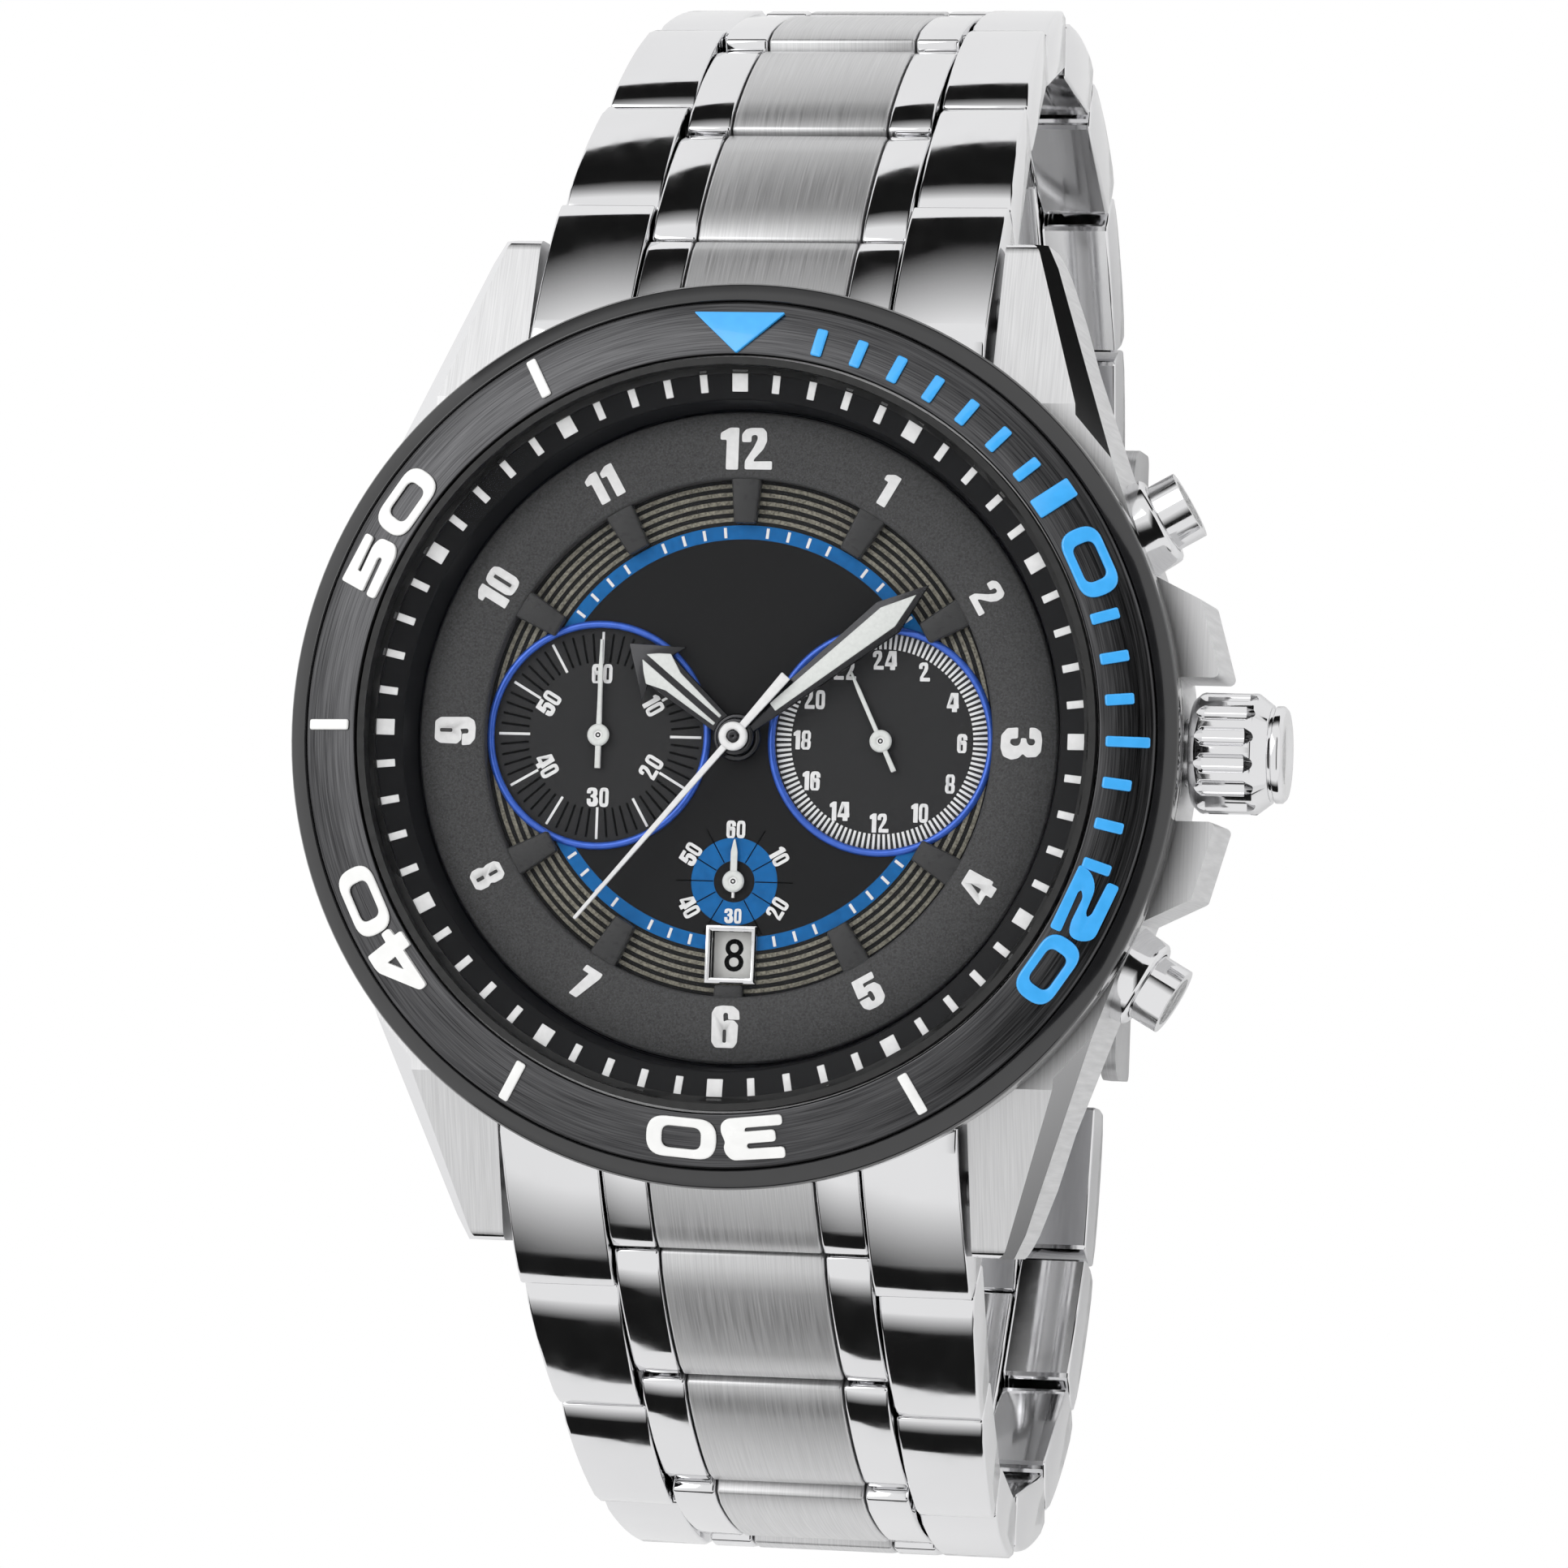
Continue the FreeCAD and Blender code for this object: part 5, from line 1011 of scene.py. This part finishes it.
def make_crown():
    start = CROWN_LOW[0] / MM
    end = CROWN_HIGH[0] / MM
    radius = (CROWN_HIGH[2] - CROWN_LOW[2]) / 2 / MM
    boss = end - 0.7
    body = along_x([(start, 1.75), (start, radius - 0.35), (start + 0.35, radius - 0.05),
                    (start + 0.5, radius), (boss - 0.75, radius), (boss - 0.1, radius - 0.5),
                    (boss, radius - 0.56), (boss, 2.35), (boss + 0.15, 2.3), (boss + 0.2, 2.42),
                    (end - 0.18, 2.42), (end, 2.24), (end, 1.5), (end - 0.06, 1.35), (end - 0.06, 0.02),
                    (start + 2.6, 0.02), (start + 2.6, 1.75)], 168,
                   "crown_fluted", steel_polished, 0.03 * MM)
    cutters = []
    for i in range(FLUTES):
        groove = along_x([(start + 0.18, 0.02), (start + 0.7, 0.5), (boss - 1.1, 0.5),
                          (boss - 0.3, 0.02)], 24, "groove", steel_polished, 0)
        turn = Matrix.Rotation(2 * math.pi * (i + 0.5) / FLUTES, 4, "X")
        cutters.append(place(groove, turn @ Matrix.Translation((0, 0, (radius + 0.12) * MM))))
    cut(body, joined(cutters, "grooves"))
    bpy.ops.object.shade_smooth_by_angle(angle=math.radians(28))
    place(body, Matrix.Translation((0, 0, CROWN_Z)))
    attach(body, "crown")
    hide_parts("crown")


def make_pushers():
    collars = []
    for side, node in ((1, "pusher_upper"), (-1, "pusher_lower")):
        turn = Matrix.Rotation(side * math.radians(90 - PUSHER_ANGLE), 4, "Z")
        spot = Matrix.Translation((0, 0, CROWN_Z)) @ turn
        collar = along_x([(20.9, 1.0), (20.9, 2.62), (21.7, 2.45), (22.4, 2.33), (23.0, 2.3), (23.35, 2.26),
                          (23.5, 2.1), (23.5, 1.81), (21.5, 1.81), (21.5, 1.0)], 64, "collar", steel_polished)
        collars.append(place(collar, spot))
        cap = along_x([(22.6, 0.02), (22.6, 1.74), (24.55, 1.74), (24.7, 1.7), (25.0, 1.36),
                       (25.0, 0.02)], 64, node + "_cap", steel_polished)
        place(cap, spot)
        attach(cap, node)
    collar = joined(collars, "pusher_collars")
    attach(collar, "case")
    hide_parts("pusher_tubes")


# --- stage ---
CARD_Y = 0.16                   # of the side cards, in metres


def stage_plane(name, size, matrix, material):
    deselect()
    bpy.ops.mesh.primitive_plane_add(size=size)
    piece = bpy.context.object
    piece.name = name
    place(piece, matrix)
    piece.data.materials.append(material)
    return piece


def stage_floor():
    material, tree, shader = new_material("floor_pale")
    set_surface(tree, shader, (0.86, 0.86, 0.86), roughness=0.8, specular=0.1)
    seen = add_node(tree, "Emission", {"Color": (1, 1, 1, 1)})
    camera_ray = add_node(tree, "LightPath", {}).outputs["Is Camera Ray"]
    mixed_surface(tree, camera_ray, shader.outputs["BSDF"], seen.outputs["Emission"])
    stage_plane("floor", 3.0, Matrix(), material)


def stage_card(name, matrix, axis, clear_at, dark_at):
    """Dark card, fading out along one axis, that gives polished steel its contrast."""
    material, tree, shader = new_material(name)
    tree.nodes.remove(shader)
    split = add_node(tree, "SeparateXYZ", {"Vector": object_place(tree)})
    fade = add_node(tree, "MapRange", {"Value": split.outputs[axis], "From Min": dark_at, "From Max": clear_at})
    dark = add_node(tree, "BsdfDiffuse", {"Color": (0.01, 0.01, 0.01, 1)})
    clear = add_node(tree, "BsdfTransparent", {})
    mixed_surface(tree, fade.outputs["Result"], dark.outputs["BSDF"], clear.outputs["BSDF"])
    card = stage_plane(name, 1, matrix, material)
    card.visible_camera = False
    card.visible_shadow = False
    card.visible_diffuse = False


def side_card(name, y, low, dark_to, high, half_width):
    turn = Matrix.Rotation(math.pi / 2, 4, "X")
    size = Matrix.Diagonal((2 * half_width, high - low, 1, 1))
    stage_card(name, Matrix.Translation((0, y, (low + high) / 2)) @ turn @ size, "Z", high, dark_to)


def overhead_card(name, z, clear_x, dark_x, far_x, half_depth):
    middle = (clear_x + far_x) / 2
    size = Matrix.Diagonal((far_x - clear_x, 2 * half_depth, 1, 1))
    stage_card(name, Matrix.Translation((middle, 0, z)) @ size, "X", clear_x, dark_x)


def stage_light():
    world = bpy.data.worlds.new("studio")
    bpy.context.scene.world = world
    world.use_nodes = True
    background = {"Color": (1.0, 1.0, 1.0, 1.0), "Strength": 0.95}
    set_inputs(world.node_tree, world.node_tree.nodes["Background"], background)
    lamp = bpy.data.lights.new("soft_key", "AREA")
    lamp.shape = "RECTANGLE"
    lamp.size = 0.5
    lamp.size_y = 0.5
    lamp.energy = 1.2
    light = bpy.data.objects.new("soft_key", lamp)
    light.location = (-0.35, 0.25, 0.6)
    away = Vector(light.location) - Vector((0, 0, 0.05))
    light.rotation_euler = away.to_track_quat("Z", "Y").to_euler()
    bpy.context.scene.collection.objects.link(light)


CAMERA_PLACE = (77.42 * MM, -23.10 * MM, 349.35 * MM)      # from the rim's centre
CAMERA_TURN = (3.755, 11.913, 2.101)
CAMERA_LENS = 166.43


def stage_camera():
    camera = bpy.data.objects.new("camera", bpy.data.cameras.new("camera"))
    camera.data.lens = CAMERA_LENS
    camera.data.sensor_width = 36
    camera.data.clip_start = 0.01
    camera.data.clip_end = 10
    camera.location = Vector(CAMERA_PLACE) + Vector((0, 0, RIM_Z))
    camera.rotation_euler = Euler([math.radians(a) for a in CAMERA_TURN])
    bpy.context.scene.collection.objects.link(camera)
    bpy.context.scene.camera = camera
    bpy.context.scene.view_settings.view_transform = "Standard"


# --- bracelet ---
LINK_THICKNESS = 3.4 * MM
PIN_DEPTH = LINK_THICKNESS / 2
PIN_SET_BACK = 1.25 * MM
BLOCK_LEAD = 2 * PIN_SET_BACK
LINK_GAP = 0.16 * MM
CROWN_RISE = 0.42 * MM          # how far a link's top bulges over its ends
STRIP_WIDTH = 2.35 * MM
STRIP_GROOVE = 0.1 * MM
BLOCK_GAP = 0.1 * MM            # between a link's outer bars and its block
END_ROUND = 0.22 * MM
FOOT_EDGE = 0.15 * MM           # height and run of the bevel under a link's ends
FOOT_RUN = 0.2 * MM
BLOCK_WIDTH = 13.2              # of the centre block at the case, in mm
BLOCK_TAPER = 0.3               # narrower for each link
NARROWEST_BLOCK = 12.3


def chain():
    """Pins (y, z) and headings of the twelve o'clock half, from the hinges."""
    names = ["link_12_%d_hinge" % i for i in range(1, 8)] + ["clasp_cover_hinge"]
    pins = [Vector(JOINTS[name]["pos_m"][1:]) for name in names]
    headings = [math.atan2((b - a).y, (b - a).x) for a, b in zip(pins, pins[1:])]
    return pins, headings


def link_matrix(pin, heading):
    """From (x, s, t) at the start of a link to the closed bracelet."""
    along = Vector((0, math.cos(heading), math.sin(heading)))
    outward = Vector((0, -math.sin(heading), math.cos(heading)))
    start = Vector((0, pin.x, pin.y)) + along * PIN_SET_BACK + outward * PIN_DEPTH
    return Matrix.Translation(start) @ Matrix.Rotation(heading, 4, "X")


def link_outline(start, end, start_dip, end_dip):
    """Side view (s, t) of a link piece with a bulging top and stops below the pin."""
    steps = 8
    top = []
    for i in range(steps + 1):
        u = i / steps
        bulge = CROWN_RISE * (1 - (2 * u - 1) ** 2)
        round_end = END_ROUND * max(0.0, abs(2 * u - 1) - 0.9) / 0.1
        top.append((start + (end - start) * u, bulge - CROWN_RISE - round_end))
    foot_start, foot_end = start + start_dip, end - end_dip
    low = -LINK_THICKNESS
    return top + [(end, -PIN_DEPTH), (foot_end, low + FOOT_EDGE), (foot_end - FOOT_RUN, low),
                  (foot_start + FOOT_RUN, low), (foot_start, low + FOOT_EDGE), (start, -PIN_DEPTH)]


def link_bar(side, x_low, x_high, material, name, taper=0.0):
    """Bar with the given side view between two x, its outer face tapering by taper over the length."""
    outline([(x_low, s, t) for s, t in side])
    extrude((x_high - x_low, 0, 0))
    bpy.ops.object.mode_set(mode="OBJECT")
    bar = bpy.context.object
    length = max(v.co.y for v in bar.data.vertices)
    for vertex in bar.data.vertices:
        if taper and vertex.co.x > (x_low + x_high) / 2:
            vertex.co.x -= taper * vertex.co.y / length
    return finish_mesh(name, material, bevel=0.16 * MM, segments=3, angle=40)


def five_bars(make_bar, outer, block_side, half):
    """The outer pair, the polished strip pair and the brushed centre of a link."""
    edge = half - STRIP_WIDTH
    strip = make_bar(block_side, edge + STRIP_GROOVE / 2, half, steel_polished, "strip")
    centre_half = edge - STRIP_GROOVE / 2
    centre = make_bar(block_side, -centre_half, centre_half, steel_brushed, "centre")
    mirror = Matrix.Diagonal((-1, 1, 1, 1))
    return [outer, twin(outer, "outer", mirror), strip, twin(strip, "strip", mirror), centre]


def stop_dip(joint, side):
    """How far the stop face slopes back below the pin, for the hinge's bend."""
    bend = math.radians(JOINTS[joint]["range_deg"][1])
    lift = side * PIN_SET_BACK * (1 - math.cos(bend)) + PIN_DEPTH * math.sin(bend) + 0.12 * MM
    return lift / (1 + math.cos(bend))


def make_link(index, pins, headings, other_side):
    """One link of a bracelet half: outer pair, two polished strips and the brushed centre."""
    number = index + 1
    last = number == len(headings)
    pitch = (pins[1] - pins[0]).length
    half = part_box("link_12_%d" % number)[1][0]
    next_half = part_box("link_12_%d" % min(number + 1, len(headings)))[1][0]
    block_half = max(NARROWEST_BLOCK, BLOCK_WIDTH - BLOCK_TAPER * index) * MM / 2
    hinge = "link_12_%d_hinge" % number
    next_hinge = "clasp_cover_hinge" if last else "link_12_%d_hinge" % (number + 1)
    gap = LINK_GAP / 2
    outer_side = link_outline(gap, pitch - gap, stop_dip(hinge, 1), stop_dip(next_hinge, 1))
    outer = link_bar(outer_side, block_half + BLOCK_GAP, half, steel_polished, "outer", half - next_half)
    block_end = pitch - gap if last else pitch - BLOCK_LEAD - gap
    block_side = link_outline(gap - BLOCK_LEAD, block_end, stop_dip(hinge, -1),
                              stop_dip(next_hinge, 1 if last else -1))
    pieces = five_bars(link_bar, outer, block_side, block_half)
    matrix = link_matrix(pins[index], headings[index])
    if other_side:
        matrix = Matrix.Rotation(math.pi, 4, "Z") @ matrix
    for piece in pieces:
        place(piece, matrix)
    body = "link_%s_%d" % ("6" if other_side else "12", number)
    link = joined(pieces, body + "_dressed")
    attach(link, body)
    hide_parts(body)


END_HEADING = math.radians(-35)
LUG_GAP_R = 19.75 * MM
END_BULGE = 0.3 * MM


def end_outline(pin, lead, start_y, bulge):
    """Side view (y, z) of an end link row that stops at a lead from the pin's link."""
    along = Vector((math.cos(END_HEADING), math.sin(END_HEADING)))
    up = Vector((-along.y, along.x))
    base = pin + along * PIN_SET_BACK + up * PIN_DEPTH
    top_end = base - along * (lead + LINK_GAP / 2)
    case_top = RING_LOW[2] - 0.2 * MM
    top_start = Vector((top_end.x - (case_top - top_end.y) / math.tan(-END_HEADING), case_top))
    steps = 8
    curve = []
    for i in range(steps + 1):
        u = i / steps
        rise = bulge * (1 - (2 * u - 1) ** 2) - 0.2 * MM * max(0.0, u - 0.9) / 0.1
        curve.append(top_start.lerp(top_end, u) + up * rise)
    middle = top_end - up * PIN_DEPTH
    dip = stop_dip("link_12_1_hinge", 1 if lead == 0 else -1)
    foot = top_end - up * LINK_THICKNESS - along * dip
    low = case_top - 7.4 * MM if lead == 0 else foot.y
    side = [(start_y, case_top)] + [(p.x, p.y) for p in curve] + [(middle.x, middle.y), (foot.x, foot.y)]
    return side + [(22.6 * MM, min(low, foot.y)), (start_y, CROWN_Z - 3.0 * MM)]


def end_bar(side, x_low, x_high, material, name):
    outline([(x_low, y, z) for y, z in side])
    extrude((x_high - x_low, 0, 0))
    return finish_mesh(name, material, bevel=0.14 * MM, segments=3, angle=40)


def make_end_link(pins, other_side):
    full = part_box("end_link_12")[1][0]
    block = BLOCK_WIDTH * MM / 2
    reach = math.sqrt(LUG_GAP_R ** 2 - block ** 2)
    outer_side = end_outline(pins[0], 0, reach, END_BULGE)
    outer = end_bar(outer_side, block + BLOCK_GAP, full, steel_polished, "outer")
    inner_side = end_outline(pins[0], BLOCK_LEAD, LUG_GAP_R, END_BULGE * 0.7)
    pieces = five_bars(end_bar, outer, inner_side, block)
    node = "end_link_6" if other_side else "end_link_12"
    link = joined(pieces, node + "_dressed")
    if other_side:
        place(link, Matrix.Rotation(math.pi, 4, "Z"))
    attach(link, "case")
    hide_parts(node)


def make_bracelet():
    pins, headings = chain()
    for other_side in (False, True):
        make_end_link(pins, other_side)
    for index in range(len(headings)):
        for other_side in (False, True):
            make_link(index, pins, headings, other_side)


stage_camera()
stage_floor()
stage_light()
for name, y in (("card_far", CARD_Y), ("card_near", -CARD_Y)):
    side_card(name, y, low=0.02, dark_to=0.07, high=0.12, half_width=0.16)
overhead_card("card_over", z=0.3, clear_x=0.02, dark_x=0.07, far_x=0.3, half_depth=0.2)
dress_nodes()
make_bezel()
make_bezel_marks()
make_chapter_ring()
make_hour_numerals()
make_hour_ring()
make_dial_rings()
make_subdial_faces()
make_subdial_rims()
make_minute_counter()
make_day_hour_scale()
make_small_seconds()
make_date_window()
make_centre_hands()
make_small_hands()
make_crown()
make_pushers()
make_bracelet()
